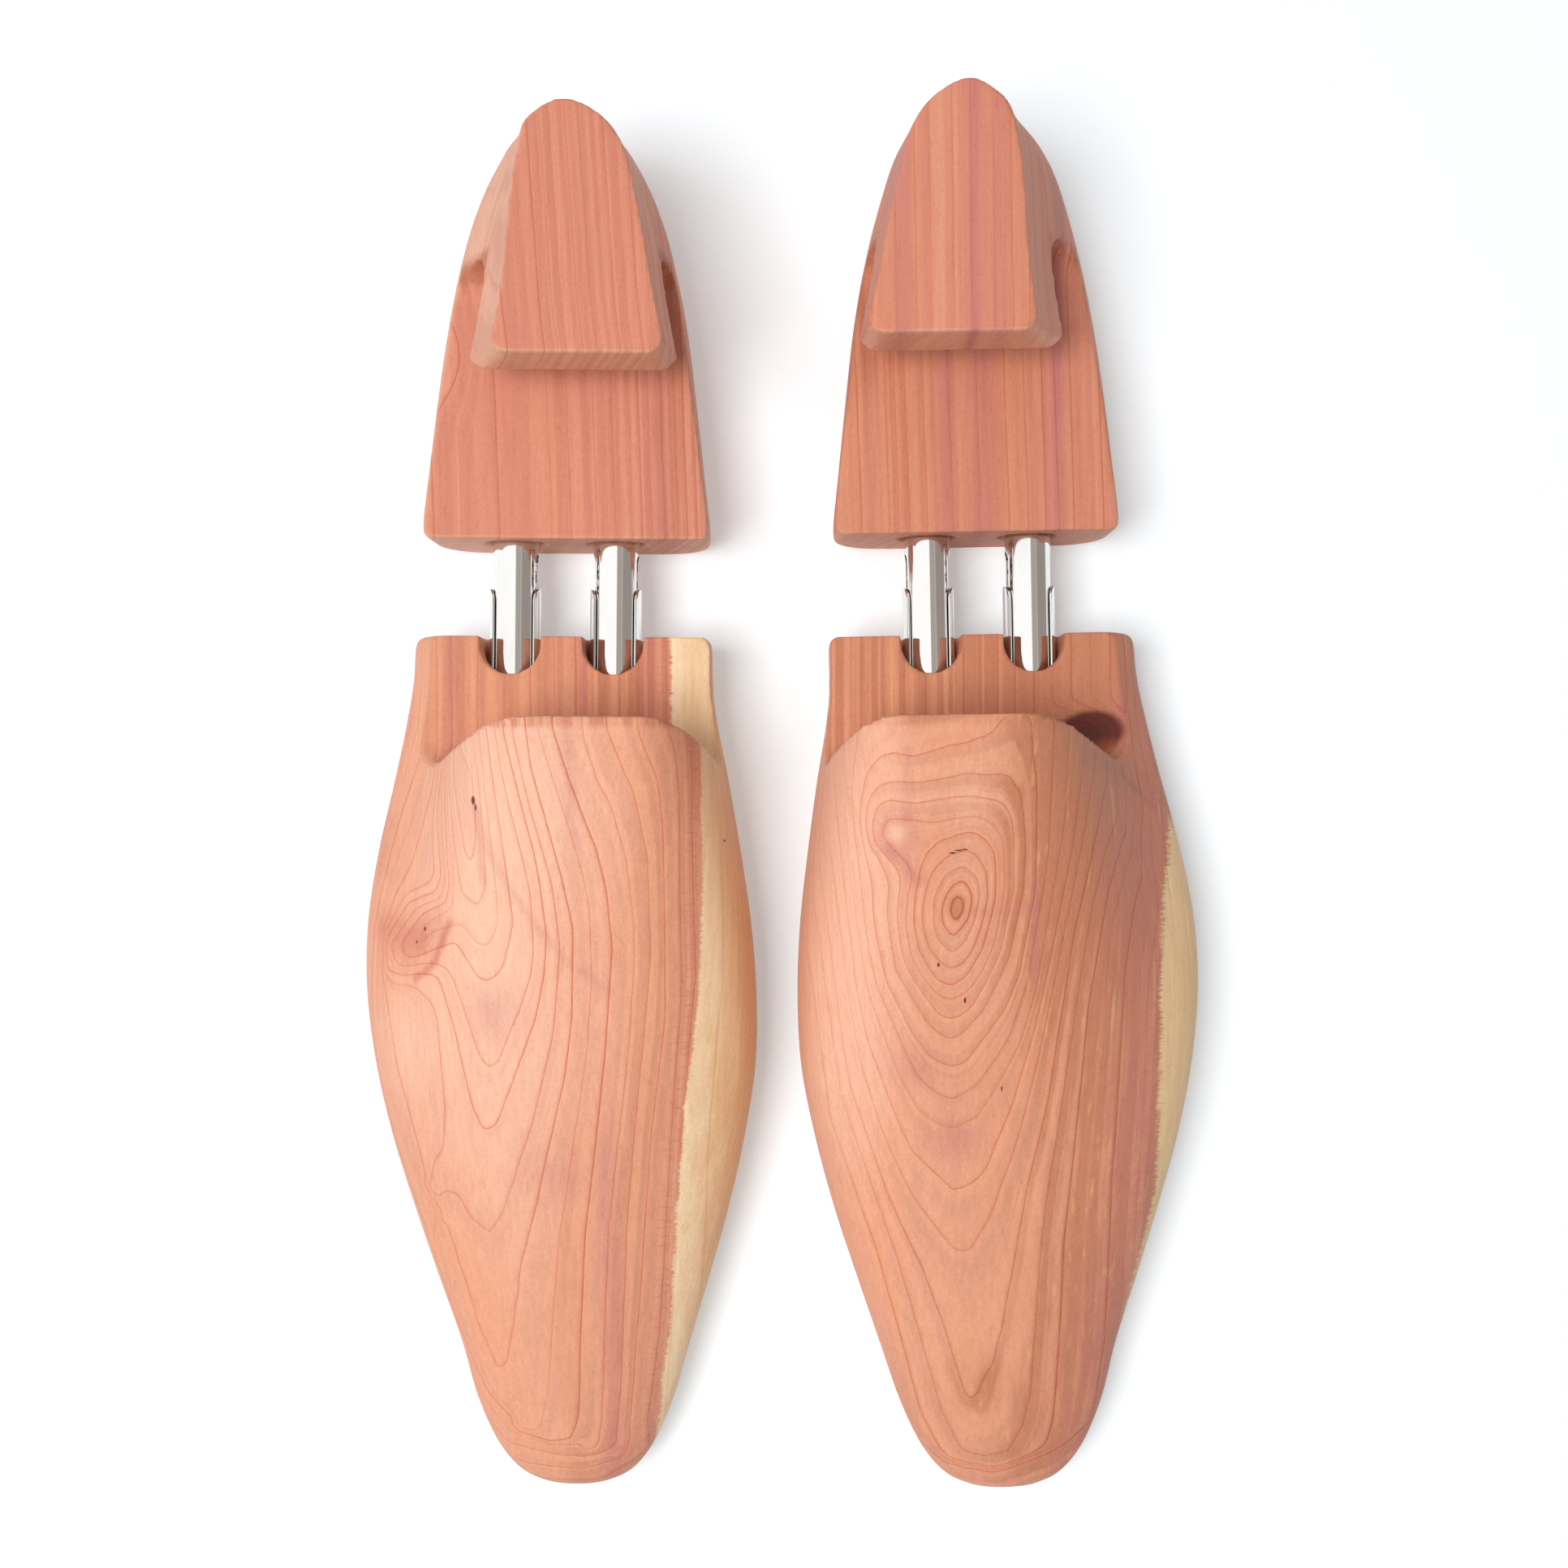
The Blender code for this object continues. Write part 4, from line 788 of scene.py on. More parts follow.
# Heel blocks: one block of red cedar each, bandsawn and sanded. A flat plate carries the tubes in two blind
# bores, and above a finger slot the block rises into a knob to pull on. Brads hold the tubes from below.
HEEL_LENGTH = 0.0850
HEEL_HALF_WIDTH = 0.0300
HEEL_HEIGHT = 0.0600
PLATE_TOP = 0.0280
FINGER_SLOT_HEIGHT = 0.0140
FINGER_SLOT_REACH = 0.0565
NOSE_REACH = 0.0328
NOSE_RADIUS = 0.0020
NOSE_CORNER = 0.0030
NOSE_CORNER_LEVELS = (0.65, 0.70, 0.75, 0.80, 0.85, 0.90, 1.00, 1.04)
HEEL_EDGE_RADIUS = 0.0110
HEEL_BACK_RADIUS = 0.0090
TUBE_IN_HEEL = 0.0395
BORE_END_GAP = 0.0020
BRAD_INSET = 0.0155
BRAD_HOLE_RADIUS = 0.0015
BRAD_SINK_RADIUS = 0.0025
BRAD_SINK_DEPTH = 0.0023
HEEL_VOXEL = 0.00060
# Fullness and shoulder are bells of extra width: at which row of the shares, how many rows wide, how much.
HEEL_SIZES = {
    "right": {"gap": 0.0200, "knob_setback": -0.0013, "knob_swing": 0.0,
              "fullness": ((8.0, 1.0, 0.0016), (10.2, 0.9, -0.0005)), "shoulder": (7.8, 0.7, 0.0003)},
    "left": {"gap": 0.0210, "knob_setback": 0.0013, "knob_swing": math.radians(2.1),
             "fullness": ((7.0, 1.4, 0.0022), (10.9, 1.4, -0.0011)), "shoulder": (8.4, 0.9, -0.0007)},
}
# Along and across, from the outer front corner round the back.
PLATE_SHARES = (
    (0.000, 0.900), (0.024, 0.957), (0.182, 0.930), (0.371, 0.878), (0.535, 0.812), (0.676, 0.733),
    (0.794, 0.635), (0.888, 0.505), (0.959, 0.310), (0.994, -0.067), (0.959, -0.380), (0.888, -0.552),
    (0.794, -0.675), (0.676, -0.768), (0.535, -0.845), (0.371, -0.905), (0.182, -0.968), (0.024, -1.015),
    (0.000, -0.955),
)
KNOB_SHARES = (
    (0.000, 0.840), (0.024, 0.870), (0.182, 0.633), (0.371, 0.380), (0.488, 0.292), (0.618, 0.246),
    (0.747, 0.214), (0.841, 0.168), (0.912, 0.100), (0.956, -0.117), (0.919, -0.358), (0.847, -0.505),
    (0.747, -0.580), (0.629, -0.648), (0.500, -0.712), (0.371, -0.800), (0.182, -0.913), (0.024, -0.990),
    (0.000, -0.940),
)
KNOB_BACK_SHARE = 0.956
KNOB_BLEND_SHARES = (
    (0.000, 0.00), (0.333, 0.00), (0.467, 0.10), (0.533, 0.22), (0.600, 0.36), (0.700, 0.58), (0.800, 0.77),
    (0.900, 0.91), (1.000, 1.00),
)
EDGE_SHARE = 0.3
EDGE_LEVELS = 22
LEVELS_PER_ROW = 5


def heel_ring(level, blend, sizes, out):
    """One level of the heel block, from the outer front corner round the back to the inner one."""
    z = level * HEEL_HEIGHT
    edge = max(0.0, 1 - z / HEEL_EDGE_RADIUS)
    tuck = 1 - math.sqrt(1 - edge ** 2)
    narrow = 1 - tuck * HEEL_EDGE_RADIUS / HEEL_HALF_WIDTH
    shorten = 1 - tuck * HEEL_BACK_RADIUS / HEEL_LENGTH
    ring = []
    for step in range((len(PLATE_SHARES) - 1) * STATIONS_PER_ROW + 1):
        at = step / STATIONS_PER_ROW
        plate_along, plate_across = through_rows(PLATE_SHARES, at)
        knob_along, knob_across = through_rows(KNOB_SHARES, at)
        setback = sizes["knob_setback"] * min(1.0, knob_along / KNOB_BACK_SHARE)
        swing = math.tan(sizes["knob_swing"]) * HEEL_LENGTH * max(0.0, KNOB_BACK_SHARE - knob_along)
        full = sum(amount * bell(at, middle, width) for middle, width, amount in sizes["fullness"])
        full *= 4 * blend * (1 - blend)
        middle, width, amount = sizes["shoulder"]
        full += amount * bell(at, middle, width) * blend ** 3
        y = plate_along * HEEL_LENGTH * (1 - blend) + (knob_along * HEEL_LENGTH + setback) * blend
        x = plate_across * HEEL_HALF_WIDTH * (1 - blend) + (knob_across * HEEL_HALF_WIDTH - swing) * blend
        ring.append((out * (x + full) * narrow, sizes["gap"] + max(0.0, y) * shorten, z))
    return ring


def nose_corner_meshes(sizes, out):
    """A square post along each front corner of the knob, standing on its edge so that it cuts a chamfer."""
    nose = sizes["gap"] + NOSE_REACH + sizes["knob_setback"]
    posts = ([], [])
    for level in NOSE_CORNER_LEVELS:
        blend = float(np.interp(level, *zip(*KNOB_BLEND_SHARES)))
        ring = heel_ring(level, blend, sizes, out)
        sides = [a[0] + (b[0] - a[0]) * (nose - a[1]) / (b[1] - a[1])
                 for a, b in zip(ring, ring[1:]) if min(a[1], b[1]) <= nose < max(a[1], b[1])]
        for post, x in zip(posts, sides):
            z = level * HEEL_HEIGHT
            post.append([(x + NOSE_CORNER, nose, z), (x, nose + NOSE_CORNER, z), (x - NOSE_CORNER, nose, z),
                         (x, nose - NOSE_CORNER, z)])
    return [skin_mesh("nose_corner", post) for post in posts]


def heel_cutters(sizes, tree):
    """What is cleared out of the block: the finger slot, the knob's corners, the bores and the brads' holes."""
    front, reach = sizes["gap"], HEEL_HALF_WIDTH + CUT_OVERRUN
    radius = FINGER_SLOT_HEIGHT / 2
    slot_top = PLATE_TOP + FINGER_SLOT_HEIGHT
    nose = front + NOSE_REACH + sizes["knob_setback"]
    slot_back = front + FINGER_SLOT_REACH + sizes["knob_setback"]
    top = HEEL_HEIGHT + CUT_OVERRUN
    outline = [(front - CUT_OVERRUN, PLATE_TOP)]
    outline += arc((slot_back - radius, PLATE_TOP + radius), radius, -90, 90)
    outline += reversed(arc((nose + NOSE_RADIUS, slot_top + NOSE_RADIUS), NOSE_RADIUS, 180, 270, 8))
    outline += [(nose, top), (front - CUT_OVERRUN, top)]
    cutters = [prism_mesh("finger_slot", outline, -reach, reach, "x"), *nose_corner_meshes(sizes, tree["out"])]
    brad_y = front + BRAD_INSET
    for x in tree["tubes"].values():
        cutters.append(rod_mesh("bore", BORE_RADIUS, (x, front - CUT_OVERRUN, TUBE_HEIGHT),
                                (x, front + TUBE_IN_HEEL + BORE_END_GAP, TUBE_HEIGHT)))
        cutters.append(rod_mesh("hole", BRAD_HOLE_RADIUS, (x, brad_y, -CUT_OVERRUN), (x, brad_y, TUBE_HEIGHT)))
        cutters.append(rod_mesh("sink", BRAD_SINK_RADIUS, (x, brad_y, -CUT_OVERRUN),
                                (x, brad_y, BRAD_SINK_DEPTH)))
    return cutters


# Where the growth lines cross the knob's top and the plate, in millimetres across the pair, each at its own y.
# They lean outwards down the block by RING_LEAN millimetres a millimetre, and change over in the knob's neck.
RING_LEAN = 0.26
KNOB_LINES_Y = 106
PLATE_LINES_Y = 77
PLATE_DRIFT = 0.03
NECK = (37, 45)
HEEL_LINES = {
    "right": {
        "knob": (-56, -53, -49.4, -45.8, -43.3, -41.9, -38.5, -36, -33.4, -31.5, -29.1, -27.1, -25, -22,
                 -19, -16, -13),
        "plate": (-76, -72, -66.5, -58.5, -47.3, -43.5, -37.9, -34.2, -30.6, -28.7, -26.8, -24, -21.2,
                  -19.5, -17.4, -15, -12),
    },
    "left": {
        "knob": (8, 13, 18, 22.5, 26.4, 28.9, 33.7, 37, 41.6, 44.9, 48, 52, 56, 60, 64, 68, 72),
        "plate": (6, 11, 16.7, 22.7, 24.2, 26.3, 30.1, 35.5, 41.1, 47.2, 51.1, 54.9, 57.4, 60.7, 64.1, 66.8,
                  70),
    },
}


def heel_rings(side):
    """The growth rings of one heel block, as a function of points. The knob's lines swerve as they run."""
    lines = HEEL_LINES[side]
    counts = range(len(lines["knob"]))
    swerve, bend, knot = {"right": (0.06, 0.0025, 1.3), "left": (0.01, 0, 0)}[side]

    def rings_at(points):
        x, y, z = points.T
        drift = swerve * (KNOB_LINES_Y - y) + bend * np.maximum(0, KNOB_LINES_Y - y) ** 2
        high = eased(x - drift + RING_LEAN * (HEEL_HEIGHT * 1000 - z), lines["knob"], counts, 0.8)
        drift = PLATE_DRIFT * (PLATE_LINES_Y - y)
        low = eased(x - drift + RING_LEAN * (PLATE_TOP * 1000 - z), lines["plate"], counts, 0.8)
        share = fade(z, *NECK)
        return (low - knot * spot(points, -68.5, 97, 10, 18)) * (1 - share) + high * share

    return rings_at


def heel_marks(points, normals, side):
    """Colours of one heel block: purple bands, painted shade in the finger slot, and painted sheen on faces
    that look forward and on the right block's flanks.
    """
    x, y, z = points.T
    high = fade(z, *NECK)
    low = 1 - high
    # The finger slot under the knob is painted browner as shade.
    slot_back = {"right": (116, 113), "left": (119, 116)}[side]
    slot = fade(z, 28.2, 30) * fade(z, 43, 41) * fade(y, *slot_back)
    # Faces that look forward get a painted sheen through the pale tone.
    front = fade(-normals[:, 1], 0.3, 0.8)
    if side == "left":
        purple = (high * (0.8 * bell(x, 37.5, 1.3) + 0.42 * bell(x, 23.5, 2.4) + 0.35 * bell(x, 42.8, 2))
                  + low * (0.45 * bell(x, 34.3, 1.8) + 0.50 * bell(x, 41.9, 2.6) + 0.75 * bell(x, 57.1, 2.0)))
        # The slot term is painted shade.
        brown = 0.16 + low * (0.9 * spot(points, 15, 102, 14, 22) + 0.1) + 0.6 * slot
        # The front term is painted sheen.
        pale = 0.25 * high * bell(x, 31, 4) + 0.2 * low + (0.8 + 0.5 * high) * front
    else:
        purple = (0.7 * high * spot(points, -32.4, 132.5, 2, 2.5)
                  + 0.3 * low * bell(x + 0.03 * (y - 60), -24.5, 2.5))
        # The slot term is painted shade.
        brown = 0.16 + 0.3 * low * bell(x, -22, 4) + 0.12 * high + 0.8 * slot
        # Flanks and forward faces get a painted sheen, kept out of the slot's painted shade.
        pale = (1 - slot) * (np.clip(np.abs(normals[:, 0]) * 0.9 - 0.1, 0, 0.7) + 0.15 * low + 0.9 * front)
    return {"halo": 0 * x, "knot": 0 * x, "purple": purple, "brown": brown, "pale": pale, "sap": 0 * x - 60,
            "bold": 0.5 + 0.1 * low}


# On the heels the pale tone also serves as painted sheen, and the brown tone as painted shade in the finger
# slot.
LEFT_HEEL_TONES = dict(FOREPART_TONES, orange=(0.73, 0.29, 0.155, 1), pink=(0.70, 0.25, 0.19, 1),
                       pale=(0.82, 0.40, 0.27, 1), brown=(0.50, 0.17, 0.09, 1))
RIGHT_HEEL_TONES = dict(LEFT_HEEL_TONES, pale=(0.88, 0.48, 0.32, 1), orange=(0.73, 0.29, 0.18, 1))
HEEL_WOOD = {"right": (RIGHT_HEEL_TONES, 17), "left": (LEFT_HEEL_TONES, 5)}
for side, tree in trees.items():
    sizes = HEEL_SIZES[side]
    levels = [(EDGE_SHARE * step / EDGE_LEVELS, 0.0) for step in range(EDGE_LEVELS)]
    rows = len(KNOB_BLEND_SHARES) - 1
    levels += [tuple(through_rows(KNOB_BLEND_SHARES, 1 + step / LEVELS_PER_ROW))
               for step in range((rows - 1) * LEVELS_PER_ROW + 1)]
    skin = skin_mesh(side + "_heel_skin", [heel_ring(*level, sizes, tree["out"]) for level in levels])
    nose = (sizes["gap"] + NOSE_REACH + sizes["knob_setback"]) * 1000
    worn_back, worn_foot = (nose + 8, nose + 4), (43, 47)
    block = carve(side + "_heel_wood", skin, heel_cutters(sizes, tree), tree["place"], HEEL_VOXEL,
                  lambda points: fade(points[:, 1], *worn_back) * fade(points[:, 2], *worn_foot))
    surface = surface_of(block.data)
    paint(block.data, ring_marks(*surface, heel_rings(side)))
    paint(block.data, heel_marks(*surface, side))
    material = cedar(side + "_heel_cedar", *HEEL_WOOD[side])
    dress(block, material, tree["heel"], side + "_heel_block")

# Inner tubes: thin steel tube with bright chrome plate, two to a tree. Each is pressed into the heel block, has
# a long slot in either side for the pivot pin to run in, and slides in its sleeve.
TUBE_RADIUS = 0.00485
TUBE_WALL = 0.00050
TUBE_DEPTH = 0.0340
TUBE_SLOT_REACH = 0.0180
TUBE_SLOT_RADIUS = 0.0020
METAL_STEPS = 96
METAL_RELIEF = 0.00002


def cut_metal(name, body, cutters, place):
    """A metal piece with its cuts taken away and its edges left crisp."""
    piece = add_object(name, body)
    tools = [add_object(mesh.name, mesh) for mesh in cutters]
    for tool in tools:
        modify(piece, "BOOLEAN", object=tool, operation="DIFFERENCE", solver="EXACT")
    settle(piece)
    for tool in tools:
        bpy.data.objects.remove(tool)
    piece.data.name = name
    piece.data.transform(place)
    keep_crisp(piece.data)
    return piece


def keep_crisp(mesh):
    """Round faces shaded smooth, with sharp edges between."""
    mesh.shade_smooth()
    mesh.set_sharp_from_angle(angle=math.radians(30))


def metal(name, tint, roughness, finish):
    """Metal with fine marks along it and patches that are duller and darker."""
    material, nodes, place = new_material(name)
    marks = place.noise(*finish["marks"])
    patches = place.noise(*finish["patches"]).step(*finish["patch_edges"])
    dimmed = [tone * left for tone, left in zip(tint, finish["dimming"])]
    nodes.surface(marks, strength=finish["relief"], distance=METAL_RELIEF, sockets={
        "Base Color": (patches * finish["patch_colour"]).blend((*tint, 1), (*dimmed, 1)), "Metallic": 1.0,
        "Roughness": roughness + patches * finish["patch_roughness"] + marks * finish["mark_roughness"]})
    return material


# Chrome plate is nearly a mirror, with draw marks and a few rubbed patches.
CHROME = {"marks": (2500, 2, 40), "mark_roughness": 0.03, "patches": (160, 3, 4), "patch_edges": (0.02, 0.28),
          "patch_colour": 0.5, "patch_roughness": 0.05, "dimming": (0.86, 0.84, 0.81), "relief": 0.06}
tube_chrome = metal("tube_chrome_plate", (0.86, 0.85, 0.83), 0.06, CHROME)
tube_places = [(side, tree, f"{side}_{label}", x)
               for side, tree in trees.items() for label, x in tree["tubes"].items()]
for side, tree, name, x in tube_places:
    heel_end = HEEL_SIZES[side]["gap"] + TUBE_IN_HEEL
    brad_y = HEEL_SIZES[side]["gap"] + BRAD_INSET
    body = rod_mesh("tube", TUBE_RADIUS, (x, -TUBE_DEPTH, TUBE_HEIGHT), (x, heel_end, TUBE_HEIGHT), METAL_STEPS)
    slot = arc((TUBE_SLOT_REACH - TUBE_SLOT_RADIUS, TUBE_HEIGHT), TUBE_SLOT_RADIUS, -90, 90)
    slot += arc((-PIVOT_SETBACK, TUBE_HEIGHT), TUBE_SLOT_RADIUS, 90, 270)
    cutters = [
        rod_mesh("inside", TUBE_RADIUS - TUBE_WALL, (x, -TUBE_DEPTH - CUT_OVERRUN, TUBE_HEIGHT),
                 (x, heel_end + CUT_OVERRUN, TUBE_HEIGHT), METAL_STEPS),
        prism_mesh("slot", slot, x - 2 * TUBE_RADIUS, x + 2 * TUBE_RADIUS, "x"),
        rod_mesh("hole", BRAD_HOLE_RADIUS, (x, brad_y, 0), (x, brad_y, TUBE_HEIGHT)),
    ]
    tube = cut_metal(name + "_tube_plated", body, cutters, tree["place"])
    dress(tube, tube_chrome, tree["heel"], name + "_tube")

# Sleeves: chrome-plated sheet with rounded corners, rolled into an open-topped C round the tube. They sit in
# the forepart's bores on the pivot pin and reach out of the notches under the tubes.
SLEEVE_INNER_RADIUS = 0.00505
SLEEVE_WALL = 0.00045
SLEEVE_REACH = 0.0105
SLEEVE_DEPTH = 0.0500
SLEEVE_LIP_ANGLE = math.radians(37.5)
SLEEVE_CORNER = 0.0024
SLEEVE_COLUMNS = 72
SLEEVE_ROWS = 40
SLEEVE_WRAP = math.pi + 2 * SLEEVE_LIP_ANGLE
SLEEVE_RIM = 0.0001
sleeve_chrome = metal("sleeve_chrome_plate", (0.84, 0.83, 0.81), 0.09, CHROME)
for side, tree, name, x in tube_places:
    points = []
    for column in range(SLEEVE_COLUMNS + 1):
        share = column / SLEEVE_COLUMNS
        angle = math.pi - SLEEVE_LIP_ANGLE + SLEEVE_WRAP * share
        from_lip = min(share, 1 - share) * SLEEVE_WRAP * SLEEVE_INNER_RADIUS
        inside = max(0.0, SLEEVE_CORNER - from_lip)
        end = SLEEVE_REACH - (SLEEVE_CORNER - math.sqrt(SLEEVE_CORNER ** 2 - inside ** 2))
        across, up = SLEEVE_INNER_RADIUS * math.cos(angle), SLEEVE_INNER_RADIUS * math.sin(angle)
        points += [(x + across, -SLEEVE_DEPTH + (end + SLEEVE_DEPTH) * row / SLEEVE_ROWS, TUBE_HEIGHT + up)
                   for row in range(SLEEVE_ROWS + 1)]
    wide = SLEEVE_ROWS + 1
    corners = [column * wide + row for column in range(SLEEVE_COLUMNS) for row in range(SLEEVE_ROWS)]
    sheet = bpy.data.meshes.new("sheet")
    sheet.from_pydata(points, [], [(a, a + 1, a + 1 + wide, a + wide) for a in corners])
    roll = add_object("roll", sheet)
    lowest = sheet.polygons[SLEEVE_COLUMNS // 2 * SLEEVE_ROWS]
    outward = 1 if lowest.normal.z < 0 else -1
    modify(roll, "SOLIDIFY", thickness=SLEEVE_WALL, offset=outward, use_even_offset=True)
    modify(roll, "BEVEL", width=SLEEVE_RIM, segments=2, limit_method="ANGLE", angle_limit=math.radians(50))
    settle(roll)
    reach = SLEEVE_INNER_RADIUS + 2 * SLEEVE_WALL
    hole = rod_mesh("pin_hole", PIN_HOLE_RADIUS, (x - reach, -PIVOT_SETBACK, TUBE_HEIGHT),
                    (x + reach, -PIVOT_SETBACK, TUBE_HEIGHT))
    sleeve = cut_metal(name + "_sleeve_plated", roll.data, [hole], tree["place"])
    bpy.data.objects.remove(roll)
    dress(sleeve, sleeve_chrome, tree["sleeves"], name + "_sleeve")

# Springs: coils of drawn wire inside the tubes, between the pivot pin and the brad, seen only through the
# slots.
SPRING_WIRE_RADIUS = 0.0005
SPRING_RADIUS = 0.00345
SPRING_CURLS = 12
SPRING_STEPS = 32
PIN_RADIUS = 0.0016
BRAD_RADIUS = 0.0012
FIT_GAP = 0.0003
SLIDE_TRAVEL = 0.0180
# Steel is dull, with fine marks and a thin film of oil stain.
STEEL = {"marks": (5000, 2, 6), "mark_roughness": 0, "patches": (700, 3), "patch_edges": (-0.05, 0.30),
         "patch_colour": 0.6, "patch_roughness": 0.15, "dimming": (0.62, 0.58, 0.54), "relief": 0.15}
spring_steel = metal("spring_wire_steel", (0.45, 0.45, 0.46), 0.28, STEEL)
for side, tree, name, x in tube_places:
    start = -PIVOT_SETBACK + PIN_RADIUS + FIT_GAP
    end = HEEL_SIZES[side]["gap"] + BRAD_INSET - BRAD_RADIUS - FIT_GAP
    lead = 2 * SPRING_WIRE_RADIUS
    steps = SPRING_CURLS * SPRING_STEPS + SPRING_STEPS // 4
    points = [Vector((x + SPRING_RADIUS, start, TUBE_HEIGHT))]
    for step in range(steps + 1):
        angle = 2 * math.pi * step / SPRING_STEPS
        across, up = SPRING_RADIUS * math.cos(angle), -SPRING_RADIUS * math.sin(angle)
        y = start + lead + (end - start - 2 * lead) * step / steps
        points.append(Vector((x + across, y, TUBE_HEIGHT + up)))
    points.append(Vector((points[-1].x, end, points[-1].z)))
    wire = bpy.data.curves.new("wire", "CURVE")
    wire.dimensions = "3D"
    wire.bevel_depth = SPRING_WIRE_RADIUS
    wire.bevel_resolution = 3
    wire.use_fill_caps = True
    coil = wire.splines.new("POLY")
    coil.points.add(len(points) - 1)
    for point, at in zip(coil.points, points):
        point.co = (*(tree["place"] @ at), 1.0)
    drawn = add_object("drawn", wire)
    bpy.context.view_layer.update()
    spring = add_object(name + "_spring_coil", bpy.data.meshes.new_from_object(drawn))
    bpy.data.objects.remove(drawn)
    spring.data.shade_smooth()
    dress(spring, spring_steel, tree["sleeves"], name + "_spring")
    tuple(tree["place"] @ points[0])
    (end - start - SLIDE_TRAVEL) / (end - start)
    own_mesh(spring)

# Brads: steel, driven up from the heel block's underside through each tube's lower wall. Their heads are sunk
# just below the wood.
BRAD_HEAD_RADIUS = 0.0022
BRAD_HEAD_HEIGHT = 0.0010
BRAD_SINK = 0.0010
BRAD_PAST_AXIS = 0.0030
BRAD_RIM_SHARE = 0.12
LATHE_STEPS = 48


def turned_object(name, profile, place):
    """A profile of radii and heights, turned round the z axis and put in place."""
    rings = [[place @ point for point in circle(radius, z, LATHE_STEPS)] for radius, z in profile]
    mesh = skin_mesh(name, rings)
    keep_crisp(mesh)
    return add_object(name, mesh)


brad_steel = metal("brad_head_steel", (0.50, 0.49, 0.47), 0.34, STEEL)
for side, tree, name, x in tube_places:
    top = TUBE_HEIGHT + BRAD_PAST_AXIS
    head_top = BRAD_SINK + BRAD_HEAD_HEIGHT
    rim = BRAD_RIM_SHARE * BRAD_HEAD_RADIUS
    profile = (
        (BRAD_HEAD_RADIUS - 2 * rim, BRAD_SINK), (BRAD_HEAD_RADIUS - rim, BRAD_SINK + rim / 3),
        (BRAD_HEAD_RADIUS, BRAD_SINK + rim), (BRAD_HEAD_RADIUS, head_top), (BRAD_RADIUS, head_top),
        (BRAD_RADIUS, top - 2 * BRAD_RADIUS), (BRAD_RADIUS / 2, top - BRAD_RADIUS / 2), (BRAD_RADIUS / 12, top),
    )
    place = tree["place"] @ Matrix.Translation((x, HEEL_SIZES[side]["gap"] + BRAD_INSET, 0))
    brad = turned_object(name + "_brad_nail", profile, place)
    dress(brad, brad_steel, tree["heel"], name + "_brad")

# Pivot pins: a steel rod with broken ends across each tongue, through both sleeves and the tubes' slots.
PIN_MEDIAL_REACH = 0.0280
PIN_LATERAL_REACH = 0.0240
PIN_CHAMFER_SHARE = 0.2
pin_steel = metal("pivot_pin_steel", (0.55, 0.54, 0.52), 0.28, STEEL)
for side, tree in trees.items():
    low, high = (PIN_MEDIAL_REACH, PIN_LATERAL_REACH)[::tree["out"]]
    chamfer = PIN_CHAMFER_SHARE * PIN_RADIUS
    profile = (
        (PIN_RADIUS - chamfer, -low), (PIN_RADIUS, -low + chamfer), (PIN_RADIUS, high - chamfer),
        (PIN_RADIUS - chamfer, high),
    )
    lay_down = Matrix.Rotation(math.radians(90), 4, "Y")
    place = tree["place"] @ Matrix.Translation((0, -PIVOT_SETBACK, TUBE_HEIGHT)) @ lay_down
    pin = turned_object(side + "_pivot_pin_rod", profile, place)
    dress(pin, pin_steel, "foreparts", side + "_pivot_pin")

# Floor: a pale seamless sheet. It is white where it is looked at or mirrored, and keeps the trees' shadows.
FLOOR_REACH = 1.5
floor_material, nodes, place = new_material("pale_sheet")
seen = nodes.add("ShaderNodeLightPath", output="Is Camera Ray")
mirrored = nodes.add("ShaderNodeLightPath", output="Is Glossy Ray")
tooth = place.noise(900, 2)
paper = (tooth * 0.04 + 0.5).clamped().blend((0.80, 0.86, 0.89, 1), (0.82, 0.88, 0.91, 1))
diffuse = nodes.add("ShaderNodeBsdfDiffuse", sockets={"Color": paper})
glow = nodes.add("ShaderNodeEmission", sockets={
    "Color": (1, 1, 1, 1), "Strength": seen * 0.26 + mirrored * 0.24})
both = nodes.add("ShaderNodeAddShader", sockets={0: diffuse, 1: glow})
nodes.add("ShaderNodeOutputMaterial", sockets={"Surface": both})
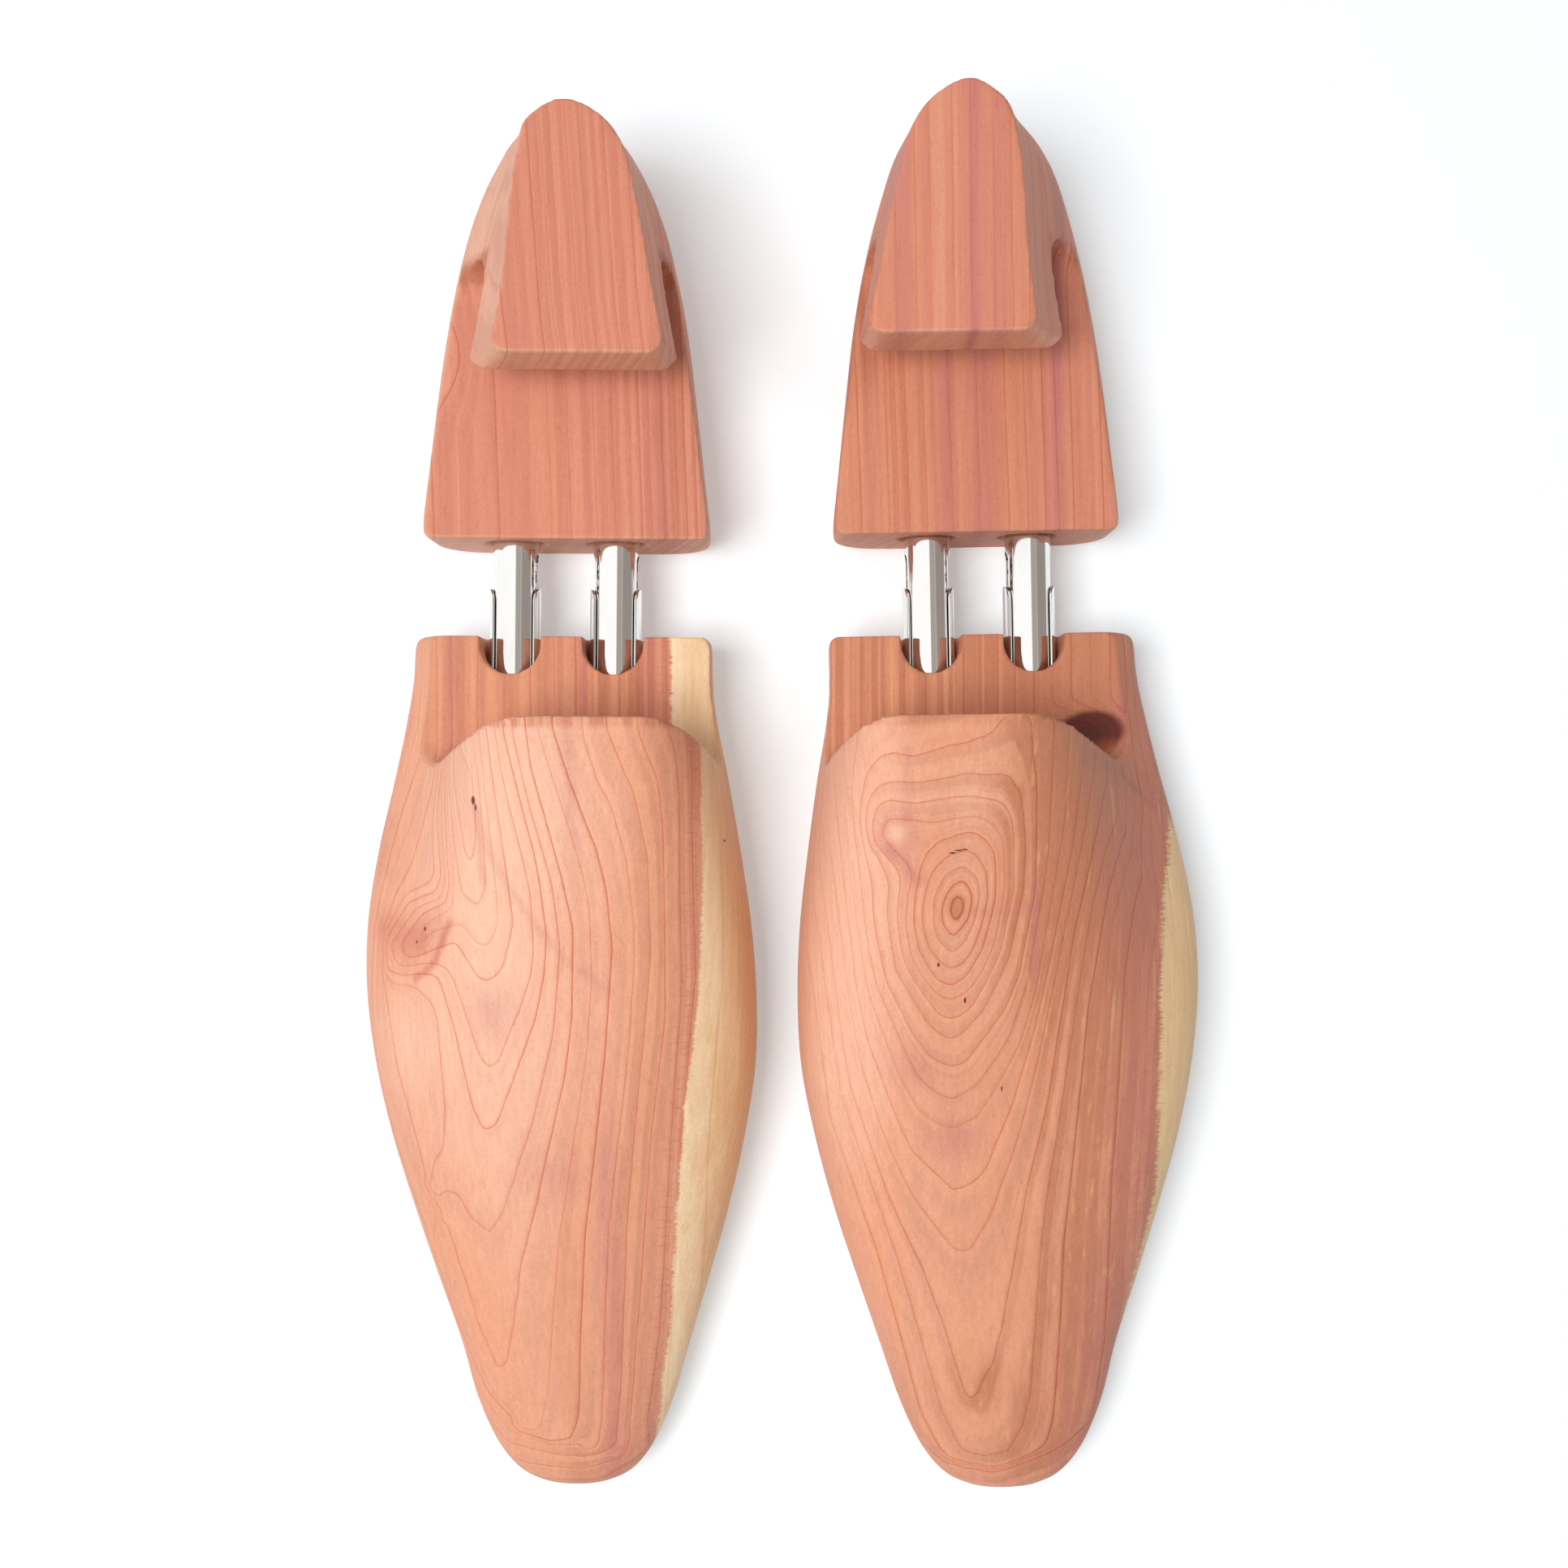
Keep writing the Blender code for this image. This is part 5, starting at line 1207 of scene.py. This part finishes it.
corners = [(FLOOR_REACH * x, FLOOR_REACH * y, 0) for x, y in ((-1, -1), (1, -1), (1, 1), (-1, 1))]
floor = add_object("floor", mesh_from("floor", corners, [(0, 1, 2, 3)]))
floor.data.materials.append(floor_material)

# Light: one big soft lamp high on the left, and a pale sky all round. Metal mirrors a room with a bright left
# side, a dark gap overhead to the right and a warm grey right wall.
world = bpy.data.worlds.new("studio")
world.use_nodes = True
world.node_tree.nodes.clear()
scene.world = world
nodes = Socket(world.node_tree)
way = nodes.add("ShaderNodeTexCoord", output="Generated")
from_left = nodes.add("ShaderNodeSeparateXYZ", sockets={0: way}, output="X")
is_glossy = nodes.add("ShaderNodeLightPath", output="Is Glossy Ray")
is_camera = nodes.add("ShaderNodeLightPath", output="Is Camera Ray")
dark_gap = from_left.step(0.10, 0.16) * from_left.step(0.62, 0.52)
right_wall = from_left.step(0.52, 0.62)
room = dark_gap.blend((1.15, 1.15, 1.15, 1), (0.44, 0.39, 0.35, 1))
room = right_wall.blend(room, (0.34, 0.30, 0.28, 1))
soft = from_left.step(-0.9, 0.9).blend((0.44, 0.44, 0.44, 1), (0.38, 0.38, 0.38, 1))
sky = is_glossy.blend(soft, room)
sky = is_camera.blend(sky, (1, 1, 1, 1))
background = nodes.add("ShaderNodeBackground", sockets={"Color": sky, "Strength": 1.0})
nodes.add("ShaderNodeOutputWorld", sockets={"Surface": background})

lamp = bpy.data.lights.new("softbox", "AREA")
lamp.shape = "SQUARE"
lamp.size = 0.40
lamp.energy = 5.9
softbox = add_object("softbox", lamp)
softbox.location = (-0.28, -0.05, 0.88)
softbox.rotation_euler = (Vector((0, 0, 0.03)) - softbox.location).to_track_quat("-Z", "Y").to_euler()
softbox.visible_glossy = False

# Camera: straight above the pair, close enough that the tall heel knobs lean outwards.
lens = bpy.data.cameras.new("above")
lens.lens = 44.63
camera = add_object("above", lens)
camera.location = (0.0006, 0.0075, 0.430)
camera.rotation_euler = (0, 0, math.radians(-0.3))
scene.camera = camera
scene.view_settings.view_transform = "Standard"
